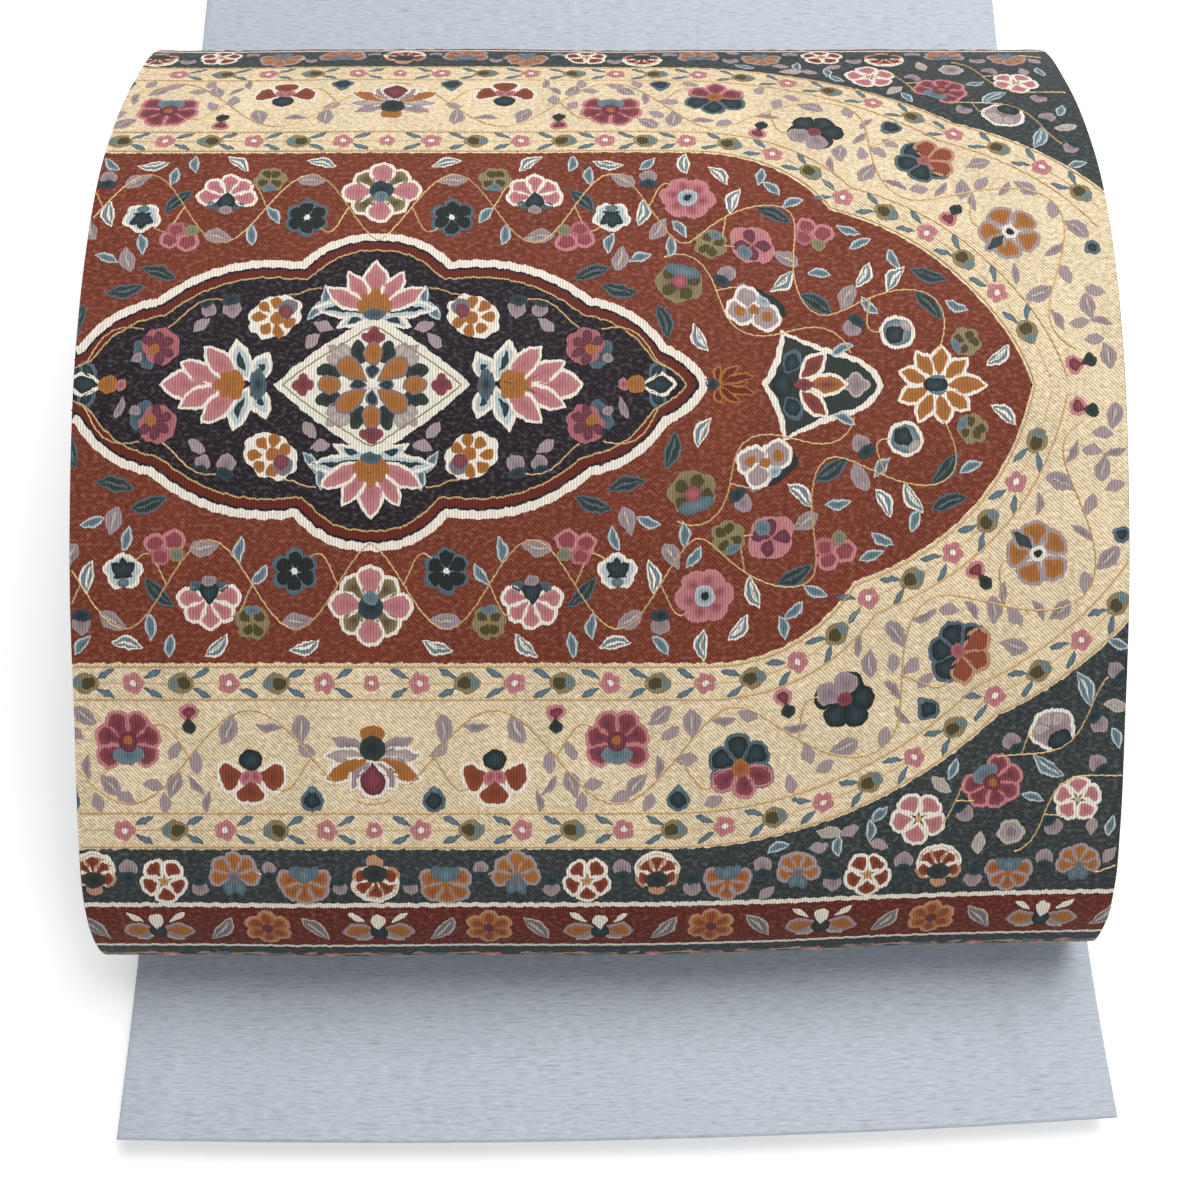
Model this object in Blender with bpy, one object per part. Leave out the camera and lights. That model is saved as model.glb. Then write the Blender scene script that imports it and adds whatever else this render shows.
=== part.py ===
"""A full-width obi sash, put up for display in its drum form.

The cloth is one long band, followed from its tail to its other end:
the tail lies on the table, turns back over itself under the drum, comes forward to
the drum's lip, rises over the drum, comes down behind it, runs away over the rest of
the sash, and is folded under itself in flat layers.

Units are metres and +Z is up. X runs across the cloth's width and +Y runs away from
the lip. Everything is worked out with the lip near Y = 0, and then moved so that the
origin is in the middle of the base.
"""

import math

import bpy
import numpy as np
from mathutils import Matrix, Vector

# The cloth
CLOTH_WIDTH = 0.310
CLOTH_THICKNESS = 0.0018
LAYER_GAP = 0.0004
SEAM_GAP = 0.0003
LAYER_PITCH = CLOTH_THICKNESS + LAYER_GAP
FOLD_RADIUS = LAYER_PITCH / 2
HALF_THICKNESS = CLOTH_THICKNESS / 2

# Where the cloth turns, along Y from the drum's lip
TAIL_HEM_Y = -0.055
TAIL_LIFT_START_Y = 0.008
INNER_FOLD_Y = 0.085
STACK_FRONT_Y = 0.100
DRUM_FOOT_Y = 0.333
FAR_FOLD_Y = 0.640

# How the display sits a little out of square
TAIL_LIFT = 0.0088
TAIL_SHIFT = 0.0045
TAIL_TURN = math.radians(1.5)
LIP_SKEW = 0.0045
LIP_SKEW_REACH = 0.075

# The folded remainder
STACK_LAYERS = 6
GROOVE_DEPTH = 0.003
EDGE_ROUNDING = 0.0003

# How finely the solids are faceted
COLUMNS = 6
DRUM_STEP = 0.006
FOLD_STEPS = 8
FOOT_RADIUS = 0.006
FOOT_STEPS = 5
SEAM_FLAT = 0.003

# The drum's outer surface, from the roll's underside over the crown to its foot:
# place, distance from the lip, height above the table
DRUM_SECTIONS = (
    ("roll underside", 0.0170, 0.0022),
    ("roll quarter", 0.0052, 0.0078),
    ("lip", 0.0000, 0.0205),
    ("roll front", 0.0052, 0.0378),
    ("roll shoulder", 0.0150, 0.0484),
    ("face low", 0.0310, 0.0577),
    ("face middle", 0.0630, 0.0719),
    ("face high", 0.0955, 0.0862),
    ("face top", 0.1290, 0.0970),
    ("crown front", 0.1637, 0.1045),
    ("crown", 0.2000, 0.1066),
    ("crown back", 0.2260, 0.1040),
    ("back top", 0.2545, 0.0950),
    ("back high", 0.2790, 0.0828),
    ("back shoulder", 0.3066, 0.0630),
    ("back low", 0.3182, 0.0440),
    ("back foot", 0.3228, 0.0280),
)

# place, sRGB colour, roughness
CLOTHS = {
    "plain_silk": ((0.72, 0.77, 0.81), 0.62),
    "tapestry_silk": ((0.46, 0.24, 0.15), 0.78),
}


def linear(colour):
    """Turns an sRGB colour to the linear one that a shader takes."""
    return [((c + 0.055) / 1.055) ** 2.4 if c > 0.04045 else c / 12.92 for c in colour]


def cloth_material(name):
    colour, roughness = CLOTHS[name]
    material = bpy.data.materials.new(name)
    material.use_nodes = True
    shader = material.node_tree.nodes["Principled BSDF"]
    shader.inputs["Base Color"].default_value = (*linear(colour), 1.0)
    shader.inputs["Roughness"].default_value = roughness
    shader.inputs["Metallic"].default_value = 0.0
    return material


def smooth_curve(points, steps=24):
    """A cubic through the points, whose slope at each is that of the line joining its neighbours."""
    points = np.asarray(points, float)
    at = np.concatenate([[0], np.cumsum(np.linalg.norm(np.diff(points, axis=0), axis=1))])
    slope = np.gradient(points, at, axis=0)
    gap = np.diff(at)[:, None, None]
    t = np.linspace(0, 1, steps, endpoint=False)[None, :, None]
    start, end = points[:-1, None], points[1:, None]
    curve = (
        start * (2 * t**3 - 3 * t**2 + 1)
        + end * (3 * t**2 - 2 * t**3)
        + slope[:-1, None] * gap * (t**3 - 2 * t**2 + t)
        + slope[1:, None] * gap * (t**3 - t**2)
    )
    return np.vstack([curve.reshape(-1, points.shape[1]), points[-1:]])


def evenly(points, step):
    """The same line with its points about one step apart."""
    points = np.asarray(points, float)
    at = np.concatenate([[0], np.cumsum(np.linalg.norm(np.diff(points, axis=0), axis=1))])
    count = max(2, int(round(at[-1] / step)) + 1)
    wanted = np.linspace(0, at[-1], count)
    return np.column_stack([np.interp(wanted, at, column) for column in points.T])


def arc(centre, radius, start, end, steps):
    """Points on an arc in the YZ plane, from one angle to another in degrees."""
    turn = np.radians(np.linspace(start, end, steps + 1))
    return np.column_stack([centre[0] + radius * np.cos(turn), centre[1] + radius * np.sin(turn)])


def eased(value):
    """0 to 1 with no slope at either end."""
    t = np.clip(value, 0, 1)
    return t * t * (3 - 2 * t)


def sheet(name, path, material, offset=0.0, shift=None, lean=None):
    """A cloth wall along a path of (y, z) points, as wide as the cloth.

    offset 0 centres the wall on the path, and -1 puts it on the path's inner side.
    shift(y) moves a station sideways, and lean(x, y) moves a point along Y.
    """
    across = np.linspace(-CLOTH_WIDTH / 2, CLOTH_WIDTH / 2, COLUMNS + 1)
    path = np.asarray(path, float)
    x = np.repeat(across[None, :], len(path), axis=0)
    y = np.repeat(path[:, :1], len(across), axis=1)
    z = np.repeat(path[:, 1:], len(across), axis=1)
    moved_x = x + (shift(y) if shift else 0)
    moved_y = y + (lean(x, y) if lean else 0)
    points = np.stack([moved_x, moved_y, z], axis=-1).reshape(-1, 3)
    row = len(across)
    faces = [
        (i * row + j, (i + 1) * row + j, (i + 1) * row + j + 1, i * row + j + 1)
        for i in range(len(path) - 1)
        for j in range(row - 1)
    ]
    mesh = bpy.data.meshes.new(name)
    mesh.from_pydata(points.tolist(), [], [face[::-1] for face in faces])
    mesh.shade_smooth()
    mesh.materials.append(material)
    obj = bpy.data.objects.new(name, mesh)
    bpy.context.scene.collection.objects.link(obj)
    wall = obj.modifiers.new("Cloth wall", "SOLIDIFY")
    wall.thickness = CLOTH_THICKNESS
    wall.offset = offset
    wall.use_even_offset = True
    return obj


def tail_shift(y):
    """The tail is turned about the lip and set to one side."""
    return TAIL_SHIFT - np.tan(TAIL_TURN) * y


def tail_lean(x, _y):
    return np.tan(TAIL_TURN) * x


def towards_tail(y):
    """0 where the underfold leaves the drum's roll, and 1 at the inner fold, where it joins the tail."""
    roll_end = DRUM_SECTIONS[0][1] + SEAM_FLAT + SEAM_GAP
    return eased((y - roll_end) / (INNER_FOLD_Y - roll_end))


def underfold_shift(y):
    return tail_shift(y) * towards_tail(y)


def lip_lean(x, y):
    """The lip's right-hand end is set back, less and less up the face."""
    return LIP_SKEW * eased(2 * x / CLOTH_WIDTH) * (1 - eased(y / LIP_SKEW_REACH))


def underfold_lean(x, y):
    return lip_lean(x, y) + tail_lean(x, y) * towards_tail(y)


def tail_path():
    """Flat on the table, then rising gently to the hem."""
    inner = INNER_FOLD_Y - SEAM_GAP
    y = np.concatenate(
        [[inner], np.linspace(TAIL_LIFT_START_Y, TAIL_HEM_Y, 9)],
    )
    along = (TAIL_LIFT_START_Y - y) / (TAIL_LIFT_START_Y - TAIL_HEM_Y)
    lift = TAIL_LIFT * np.clip(along, 0, 1) ** 1.5
    return np.column_stack([y, HALF_THICKNESS + lift])


def underfold_path():
    """The inner fold, then forward over the tail to the drum's roll."""
    turn = arc((INNER_FOLD_Y, LAYER_PITCH / 2 + HALF_THICKNESS), FOLD_RADIUS, -90, 90, FOLD_STEPS)
    roll = DRUM_SECTIONS[0][1] + SEAM_FLAT + SEAM_GAP
    run = np.linspace(INNER_FOLD_Y, roll, 6)[1:]
    over = np.column_stack([run, np.full(len(run), turn[-1, 1])])
    return np.vstack([turn, over])


def face_path():
    """The drum's outer surface, down to the foot where it turns away onto the stack."""
    over = evenly(smooth_curve([row[1:] for row in DRUM_SECTIONS]), DRUM_STEP)
    top = band_height() + HALF_THICKNESS
    heel = (DRUM_FOOT_Y - SEAM_FLAT, top + FOOT_RADIUS)
    foot = arc(heel, FOOT_RADIUS, 190, 270, FOOT_STEPS)
    return np.vstack([(over[0, 0] + SEAM_FLAT, over[0, 1]), over, foot, (DRUM_FOOT_Y, top)])


def band_height():
    """The middle of the band's wall, one layer above the folded stack."""
    return STACK_LAYERS * LAYER_PITCH + HALF_THICKNESS


def band_path():
    """Away over the stack, then down round the far fold to the stack's top layer."""
    level = band_height()
    centre = (FAR_FOLD_Y - FOLD_RADIUS - HALF_THICKNESS, level - FOLD_RADIUS)
    run = np.linspace(DRUM_FOOT_Y + SEAM_GAP, centre[0], 8)[:-1]
    over = np.column_stack([run, np.full(len(run), level)])
    return np.vstack([over, arc(centre, FOLD_RADIUS, 90, -90, FOLD_STEPS)])


def edge_inset(level, groups):
    """How far an edge stands back at one height: half a circle on each group of layers.

    A group of one layer is a cut or selvedge edge and hardly rounded; a group of two is
    a fold. Between two groups the edge goes in by the groove's depth.
    """
    for first, last in groups:
        low = first * LAYER_PITCH
        high = last * LAYER_PITCH + CLOTH_THICKNESS
        if low - 1e-9 <= level <= high + 1e-9:
            if first == last:
                near_face = min(level - low, high - level) < CLOTH_THICKNESS * 0.1
                return EDGE_ROUNDING if near_face else 0.0
            radius = (high - low) / 2
            return radius - math.sqrt(max(radius**2 - (level - (low + high) / 2) ** 2, 0.0))
    return GROOVE_DEPTH


def stack_levels():
    """Heights of the stack's rings: five through each layer, and one in each groove."""
    levels = []
    for layer in range(STACK_LAYERS):
        base = layer * LAYER_PITCH
        levels += [base + CLOTH_THICKNESS * part for part in (0.0, 0.15, 0.5, 0.85, 1.0)]
        if layer < STACK_LAYERS - 1:
            levels.append(base + CLOTH_THICKNESS + LAYER_GAP / 2)
    return levels


def folded_stack(name, material):
    """The folded remainder as one solid, a ring of four corners at each level."""
    single = [(layer, layer) for layer in range(STACK_LAYERS)]
    front_folds = [(layer, layer + 1) for layer in range(0, STACK_LAYERS, 2)]
    back_folds = [(layer, layer + 1) for layer in range(1, STACK_LAYERS - 1, 2)]
    back_groups = [single[0], *back_folds, single[-1]]
    back_y = FAR_FOLD_Y - FOLD_RADIUS - HALF_THICKNESS - SEAM_GAP
    points = []
    for level in stack_levels():
        half = CLOTH_WIDTH / 2 - edge_inset(level, single)
        front = STACK_FRONT_Y + edge_inset(level, front_folds)
        back = back_y - edge_inset(level, back_groups)
        points += [(-half, front, level), (half, front, level), (half, back, level), (-half, back, level)]
    count = len(points)
    faces = [(3, 2, 1, 0), (count - 4, count - 3, count - 2, count - 1)]
    for base in range(0, count - 4, 4):
        for corner in range(4):
            after = (corner + 1) % 4
            faces.append((base + corner, base + after, base + 4 + after, base + 4 + corner))
    mesh = bpy.data.meshes.new(name)
    mesh.from_pydata(points, [], faces)
    mesh.shade_smooth()
    mesh.set_sharp_from_angle(angle=math.radians(35))
    mesh.materials.append(material)
    obj = bpy.data.objects.new(name, mesh)
    bpy.context.scene.collection.objects.link(obj)
    return obj


def centre_on_base(objects):
    """Moves the meshes so that the origin is in the middle of the whole sash's base."""
    bpy.context.view_layer.update()
    graph = bpy.context.evaluated_depsgraph_get()
    corners = np.array([c for obj in objects for c in obj.evaluated_get(graph).bound_box])
    low, high = corners.min(axis=0), corners.max(axis=0)
    move = Vector((-(low[0] + high[0]) / 2, -(low[1] + high[1]) / 2, -low[2]))
    for obj in objects:
        obj.data.transform(Matrix.Translation(move))


def main():
    for obj in list(bpy.data.objects):
        bpy.data.objects.remove(obj)
    plain = cloth_material("plain_silk")
    tapestry = cloth_material("tapestry_silk")
    centre_on_base(
        [
            sheet("tare_tail", tail_path()[::-1], plain, shift=tail_shift, lean=tail_lean),
            sheet("taiko_underfold", underfold_path(), plain, shift=underfold_shift, lean=underfold_lean),
            sheet("taiko_face", face_path(), tapestry, offset=-1.0, lean=lip_lean),
            sheet("sash_band", band_path(), plain),
            folded_stack("folded_sash", plain),
        ]
    )


main()
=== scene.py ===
"""The looks of a full-width obi sash, put up for display in its drum form.

The drum's figured cloth is drawn in cloth millimetres: u runs across the width from the
cloth's middle, and v runs along the cloth from the middle of the drum's pattern, towards
the crown. Every motif is a patch of weave or a thread worked out there and then laid on
the drum's curved surface, a few hundredths of a millimetre above the ground weave.
"""

import math

import bpy
import numpy as np
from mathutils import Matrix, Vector


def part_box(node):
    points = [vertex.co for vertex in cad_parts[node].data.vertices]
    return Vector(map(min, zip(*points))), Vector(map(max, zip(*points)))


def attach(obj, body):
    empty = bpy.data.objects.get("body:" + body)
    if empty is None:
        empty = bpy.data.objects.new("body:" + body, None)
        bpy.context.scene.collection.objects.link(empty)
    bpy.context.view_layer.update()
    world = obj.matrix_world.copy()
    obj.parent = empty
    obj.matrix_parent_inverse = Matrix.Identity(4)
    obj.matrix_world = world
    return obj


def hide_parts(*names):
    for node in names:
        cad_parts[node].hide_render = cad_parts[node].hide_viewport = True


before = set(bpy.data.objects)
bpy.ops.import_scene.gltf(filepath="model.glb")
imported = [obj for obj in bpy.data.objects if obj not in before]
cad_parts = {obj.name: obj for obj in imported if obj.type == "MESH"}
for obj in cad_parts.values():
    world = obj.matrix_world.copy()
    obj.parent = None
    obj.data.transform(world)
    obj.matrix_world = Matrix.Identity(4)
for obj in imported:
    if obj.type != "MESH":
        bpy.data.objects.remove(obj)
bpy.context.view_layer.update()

MM = 0.001

# The cloth, as in the CAD part, in metres
CLOTH_WIDTH = 0.310
CLOTH_THICKNESS = 0.0018
LAYER_GAP = 0.0004
SEAM_GAP = 0.0003
LAYER_PITCH = CLOTH_THICKNESS + LAYER_GAP
FOLD_RADIUS = LAYER_PITCH / 2
HALF_THICKNESS = CLOTH_THICKNESS / 2
STACK_LAYERS = 6

# Where the cloth turns, along Y from the drum's lip, as in the CAD part
TAIL_HEM_Y = -0.055
TAIL_LIFT_START_Y = 0.008
INNER_FOLD_Y = 0.085
STACK_FRONT_Y = 0.100
DRUM_FOOT_Y = 0.333
FAR_FOLD_Y = 0.640
FOOT_RADIUS = 0.006
SEAM_FLAT = 0.003

# How the display sits a little out of square, as in the CAD part
TAIL_LIFT = 0.0088
TAIL_SHIFT = 0.0045
TAIL_TURN = math.radians(1.2)
HEM_BOW = 0.14
LIP_SKEW = 0.0045
LIP_SKEW_REACH = 0.075

# The drum's outer line, as in the CAD part: place, distance from the lip, height
DRUM_SECTIONS = (
    ("roll underside", 0.0170, 0.0022),
    ("roll quarter", 0.0052, 0.0078),
    ("lip", 0.0000, 0.0205),
    ("roll front", 0.0052, 0.0378),
    ("roll shoulder", 0.0150, 0.0484),
    ("face low", 0.0310, 0.0577),
    ("face middle", 0.0630, 0.0719),
    ("face high", 0.0955, 0.0862),
    ("face top", 0.1290, 0.0970),
    ("crown front", 0.1637, 0.1045),
    ("crown", 0.2000, 0.1066),
    ("crown back", 0.2260, 0.1040),
    ("back top", 0.2545, 0.0950),
    ("back high", 0.2790, 0.0828),
    ("back shoulder", 0.3066, 0.0630),
    ("back low", 0.3182, 0.0440),
    ("back foot", 0.3228, 0.0280),
)

# From the roll's underside to the middle of the drum's pattern, along the cloth
PATTERN_MIDDLE = 0.2126

# The CAD part was worked out with the lip near Y = 0 and then centred on its base
MIDDLE_X = (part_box("sash_band")[0].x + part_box("sash_band")[1].x) / 2
LIP_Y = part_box("sash_band")[1].y - FAR_FOLD_Y


# ---------------------------------------------------------------- lines and curves


def smooth_curve(points, steps=24):
    """A cubic through the points, whose slope at each is that of the line joining its neighbours."""
    points = np.asarray(points, float)
    at = np.concatenate([[0], np.cumsum(np.linalg.norm(np.diff(points, axis=0), axis=1))])
    slope = np.gradient(points, at, axis=0)
    gap = np.diff(at)[:, None, None]
    t = np.linspace(0, 1, steps, endpoint=False)[None, :, None]
    start, end = points[:-1, None], points[1:, None]
    curve = (
        start * (2 * t**3 - 3 * t**2 + 1)
        + end * (3 * t**2 - 2 * t**3)
        + slope[:-1, None] * gap * (t**3 - 2 * t**2 + t)
        + slope[1:, None] * gap * (t**3 - t**2)
    )
    return np.vstack([curve.reshape(-1, points.shape[1]), points[-1:]])


def distances(points):
    """How far along the line each point is."""
    steps = np.linalg.norm(np.diff(points, axis=0), axis=1)
    return np.concatenate([[0], np.cumsum(steps)])


def evenly(points, step):
    """The same line with its points about one step apart."""
    points = np.asarray(points, float)
    at = distances(points)
    wanted = np.linspace(0, at[-1], max(2, int(round(at[-1] / step)) + 1))
    return np.column_stack([np.interp(wanted, at, column) for column in points.T])


def arc(centre, radius, start, end, steps):
    """Points on an arc in a plane, from one angle to another in degrees."""
    turn = np.radians(np.linspace(start, end, steps + 1))
    return np.column_stack([centre[0] + radius * np.cos(turn), centre[1] + radius * np.sin(turn)])


def eased(value):
    """0 to 1 with no slope at either end."""
    t = np.clip(value, 0, 1)
    return t * t * (3 - 2 * t)


def left_normals(line):
    """Unit normals on the left of a line of (a, b) points."""
    slope = np.gradient(line, axis=0)
    slope /= np.linalg.norm(slope, axis=1, keepdims=True) + 1e-12
    return np.column_stack([-slope[:, 1], slope[:, 0]])


def scatter(number):
    """An uneven number from 0 to 1 for each whole number, the same on every run."""
    return np.modf(np.abs(np.sin(np.asarray(number, float) * 12.9898) * 437.585))[0]


# ---------------------------------------------------------------- the cloth's own shape


def tail_shift(y):
    """The tail is turned about the lip and set to one side."""
    return TAIL_SHIFT - np.tan(TAIL_TURN) * y


def tail_lean(x, y):
    """The hem's slant, and its bow: both front corners are drawn back, by bow times x squared."""
    near_hem = np.clip((TAIL_LIFT_START_Y - y) / (TAIL_LIFT_START_Y - TAIL_HEM_Y), 0, 1)
    return np.tan(TAIL_TURN) * x + HEM_BOW * x**2 * near_hem**2


def towards_tail(y):
    """0 where the underfold leaves the drum's roll, and 1 at the inner fold, where it joins the tail."""
    roll_end = DRUM_SECTIONS[0][1] + SEAM_FLAT + SEAM_GAP
    return eased((y - roll_end) / (INNER_FOLD_Y - roll_end))


def underfold_shift(y):
    return tail_shift(y) * towards_tail(y)


def lip_lean(x, y):
    """The lip's right-hand end is set back, less and less up the face."""
    return LIP_SKEW * eased(2 * x / CLOTH_WIDTH) * (1 - eased(y / LIP_SKEW_REACH))


def underfold_lean(x, y):
    return lip_lean(x, y) + tail_lean(x, y) * towards_tail(y)


def no_shift(y):
    return 0 * y


def no_lean(x, y):
    return 0 * (x + y)


def band_height():
    """The middle of the band's wall, one layer above the folded stack."""
    return STACK_LAYERS * LAYER_PITCH + HALF_THICKNESS


def drum_line():
    """The drum's outer line from its underside over the crown to its foot, and how far each point
    is along the cloth from the roll's underside."""
    over = smooth_curve([row[1:] for row in DRUM_SECTIONS])
    top = band_height() + HALF_THICKNESS
    foot = arc((DRUM_FOOT_Y - SEAM_FLAT, top + FOOT_RADIUS), FOOT_RADIUS, 190, 270, 12)
    line = np.vstack([(over[0, 0] + SEAM_FLAT, over[0, 1]), over, foot, (DRUM_FOOT_Y, top)])
    return line, distances(line) - SEAM_FLAT


DRUM_LINE, DRUM_AT = drum_line()
DRUM_OUT = left_normals(DRUM_LINE)
DRUM_OUT *= np.sign(DRUM_OUT[len(DRUM_OUT) // 2, 1])


def soft_swell(u, v):
    """How far the drum's cloth stands proud or sinks, in mm: a few long low waves, none at its ends."""
    waves = (
        0.34 * np.sin(u / 31 + v / 57 + 0.6)
        + 0.26 * np.sin(u / 19 - v / 43 + 2.1)
        + 0.16 * np.sin(u / 11 + v / 23 + 4.0)
    )
    at = PATTERN_MIDDLE / MM + v
    ends = eased((at + 3) / 18) * eased((DRUM_AT[-1] / MM - at) / 18)
    return 0.45 * waves * ends


def on_drum(u, v, lift=0.0):
    """World points of cloth millimetres (u, v), a lift in mm above the drum's outer surface."""
    u, v, lift = np.broadcast_arrays(u, v, lift)
    at = PATTERN_MIDDLE + v * MM
    y = np.interp(at, DRUM_AT, DRUM_LINE[:, 0])
    z = np.interp(at, DRUM_AT, DRUM_LINE[:, 1])
    out_y = np.interp(at, DRUM_AT, DRUM_OUT[:, 0])
    out_z = np.interp(at, DRUM_AT, DRUM_OUT[:, 1])
    height = (lift + soft_swell(u, v)) * MM
    lean = lip_lean(u * MM, y)
    return np.stack(
        [MIDDLE_X + u * MM, LIP_Y + y + out_y * height + lean, z + out_z * height], axis=-1
    )


# ---------------------------------------------------------------- meshes


def mesh_object(name, points, faces, material, cloth_at, colours=None):
    """A piece from its points and faces. cloth_at is each point's place on the flat cloth in metres,
    which becomes its UV map, and colours its yarn."""
    mesh = bpy.data.meshes.new(name)
    mesh.from_pydata(points, [], faces, shade_flat=False)
    corners = np.empty(len(mesh.loops), np.int32)
    mesh.loops.foreach_get("vertex_index", corners)
    uv_map = mesh.uv_layers.new(name="cloth")
    uv_map.data.foreach_set("uv", np.asarray(cloth_at, np.float32)[corners].ravel())
    if colours is not None:
        yarn = mesh.color_attributes.new("yarn", "FLOAT_COLOR", "POINT")
        yarn.data.foreach_set("color", np.asarray(colours, np.float32).ravel())
    mesh.materials.append(material)
    obj = bpy.data.objects.new(name, mesh)
    bpy.context.scene.collection.objects.link(obj)
    return obj


def grid_faces(rows, columns, wrap=False):
    """Quads of a grid of points kept row by row, closed on itself across if wrap."""
    row = np.arange(rows - 1)[:, None] * columns
    last = columns if wrap else columns - 1
    here = np.arange(last)[None, :]
    after = (here + 1) % columns
    return np.stack(
        [row + here, row + after, row + columns + after, row + columns + here], axis=-1
    ).reshape(-1, 4)


def cloth_wall(name, line, material, offset, across=2.5 * MM, shift=no_shift, lean=no_lean,
               swell=None, start_round=False, end_round=False, colours=None):
    """A cloth wall along a line of (y, z) points, as one closed skin.

    Its cross-section is the cloth's width with round edges, and is carried along the line.
    offset 0 centres the wall on the line, and -1 hangs it below the line's left-hand side.
    swell(x, at) lifts the wall along its normal, in metres. A rounded end shrinks the wall
    to nothing on a half circle.
    """
    line = np.asarray(line, float)
    normals = left_normals(line)
    at = distances(line)
    thin = np.ones(len(line))
    for rounded, end, inner in ((start_round, 0, 1), (end_round, -1, -2)):
        if not rounded:
            continue
        away = line[end] - line[inner]
        away /= np.linalg.norm(away)
        turn = np.radians(np.linspace(15, 90, 6))
        extra = line[end] + away * np.sin(turn)[:, None] * HALF_THICKNESS
        more_at = at[end] + np.sin(turn) * HALF_THICKNESS * (1 if end == -1 else -1)
        more_normals = np.repeat(normals[end][None, :], len(turn), axis=0)
        more_thin = np.maximum(np.cos(turn), 0.02)
        if end == 0:
            line = np.vstack([extra[::-1], line])
            normals = np.vstack([more_normals, normals])
            at = np.concatenate([more_at[::-1], at])
            thin = np.concatenate([more_thin[::-1], thin])
        else:
            line = np.vstack([line, extra])
            normals = np.vstack([normals, more_normals])
            at = np.concatenate([at, more_at])
            thin = np.concatenate([thin, more_thin])
    half = CLOTH_WIDTH / 2 - HALF_THICKNESS
    flat = np.linspace(-half, half, int(round(2 * half / across)) + 1)
    bend = np.radians(np.linspace(90, -90, 9))[1:-1]
    bend = bend[np.abs(bend) > 1e-6]
    x = np.concatenate([flat, half + HALF_THICKNESS * np.cos(bend), flat[::-1],
                        -half - HALF_THICKNESS * np.cos(bend)])
    up = np.concatenate([np.ones(len(flat)), np.sin(bend), -np.ones(len(flat)), -np.sin(bend)])
    first = len(flat) + len(bend) // 2
    x, up = np.roll(x, -first), np.roll(up, -first)
    across_x = np.repeat(x[None, :], len(line), axis=0)
    lift = (up[None, :] * thin[:, None] + offset) * HALF_THICKNESS
    if swell is not None:
        lift = lift + swell(across_x, np.repeat(at[:, None], len(x), axis=1))
    y = line[:, :1] + normals[:, :1] * lift
    z = line[:, 1:] + normals[:, 1:] * lift
    points = np.stack(
        [
            MIDDLE_X + across_x + shift(line[:, :1]),
            LIP_Y + y + lean(across_x, line[:, :1]),
            z,
        ],
        axis=-1,
    ).reshape(-1, 3)
    rows, columns = len(line), len(x)
    sides = grid_faces(rows, columns, wrap=True)
    half_way = columns // 2
    here = np.arange(half_way - 1)
    cap = np.stack([here, here + 1, columns - 2 - here, columns - 1 - here], axis=-1)
    last = cap[:, ::-1] + (rows - 1) * columns
    faces = np.vstack([sides[:, ::-1], cap, last])
    cloth_at = np.stack([across_x, np.repeat(at[:, None], columns, axis=1)], axis=-1).reshape(-1, 2)
    made = None
    if colours is not None:
        made = colours(across_x / MM, at[:, None] / MM, up[None, :] * np.ones((rows, 1))).reshape(-1, 4)
    return mesh_object(name, points, faces.tolist(), material, cloth_at, made)


# ---------------------------------------------------------------- colours


def linear(code):
    """An sRGB hex colour as the linear one that a shader takes."""
    parts = np.array([int(code[i : i + 2], 16) / 255 for i in (0, 2, 4)])
    return np.where(parts > 0.04045, ((parts + 0.055) / 1.055) ** 2.4, parts / 12.92)


# The dyed silks, as sRGB
YARN = {
    "cream": "dcc8a6",
    "red": "753623",
    # The guard red is set darker than its yarn, partly as painted shade for the lip, where its band lies;
    # this darker red is used wherever the colour appears
    "guard red with painted shade": "652519",
    "aubergine": "221b22",
    "green": "343a3a",
    "shield green": "2e3633",
    "white": "e8e0d2",
    "ivory": "e2ddcd",
    "pale blue": "b4c0c2",
    "pink": "bd7d80",
    "deep pink": "a8666c",
    "rose": "8c444c",
    "wine": "62303a",
    "purple": "6e3c4a",
    "mauve": "a08e90",
    "dusk": "7f7076",
    "orange": "a86a32",
    "amber": "94602c",
    "peach": "b88a6c",
    "rust": "8a4630",
    "teal": "33464e",
    "ink": "1f2626",
    "blue": "6c8088",
    "steel": "52656f",
    "leaf green": "333d38",
    "sage": "68766c",
    "olive": "8b7c5a",
    "moss": "4d4428",
    "stone": "b6aea0",
    "gold": "c0a070",
    "dark edge": "2c2622",
    "sky silk": "b5bdc6",
}
PAINT = {name: linear(code) for name, code in YARN.items()}


# ---------------------------------------------------------------- woven patches

COMB_PITCH = 0.62
COMB_DEPTH = 0.42
OUTLINE_STEP = 0.55
RIM = 1.1


def combed(u, v):
    """Woven edges: v steps a little up or down by which group of warps u is on, and wavers slowly."""
    step = COMB_DEPTH * (scatter(np.floor(u / COMB_PITCH)) - 0.5)
    return v + step + 0.14 * np.sin(1.21 * u - 0.42 * v) + 0.08 * np.sin(2.6 * u + 0.9 * v)


def wavered(u, v):
    """Woven edges: u wavers slowly, as the weaver counts warps."""
    return u + 0.14 * np.sin(1.05 * v + 0.35 * u) + 0.08 * np.sin(2.3 * v - 1.1 * u)


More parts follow.
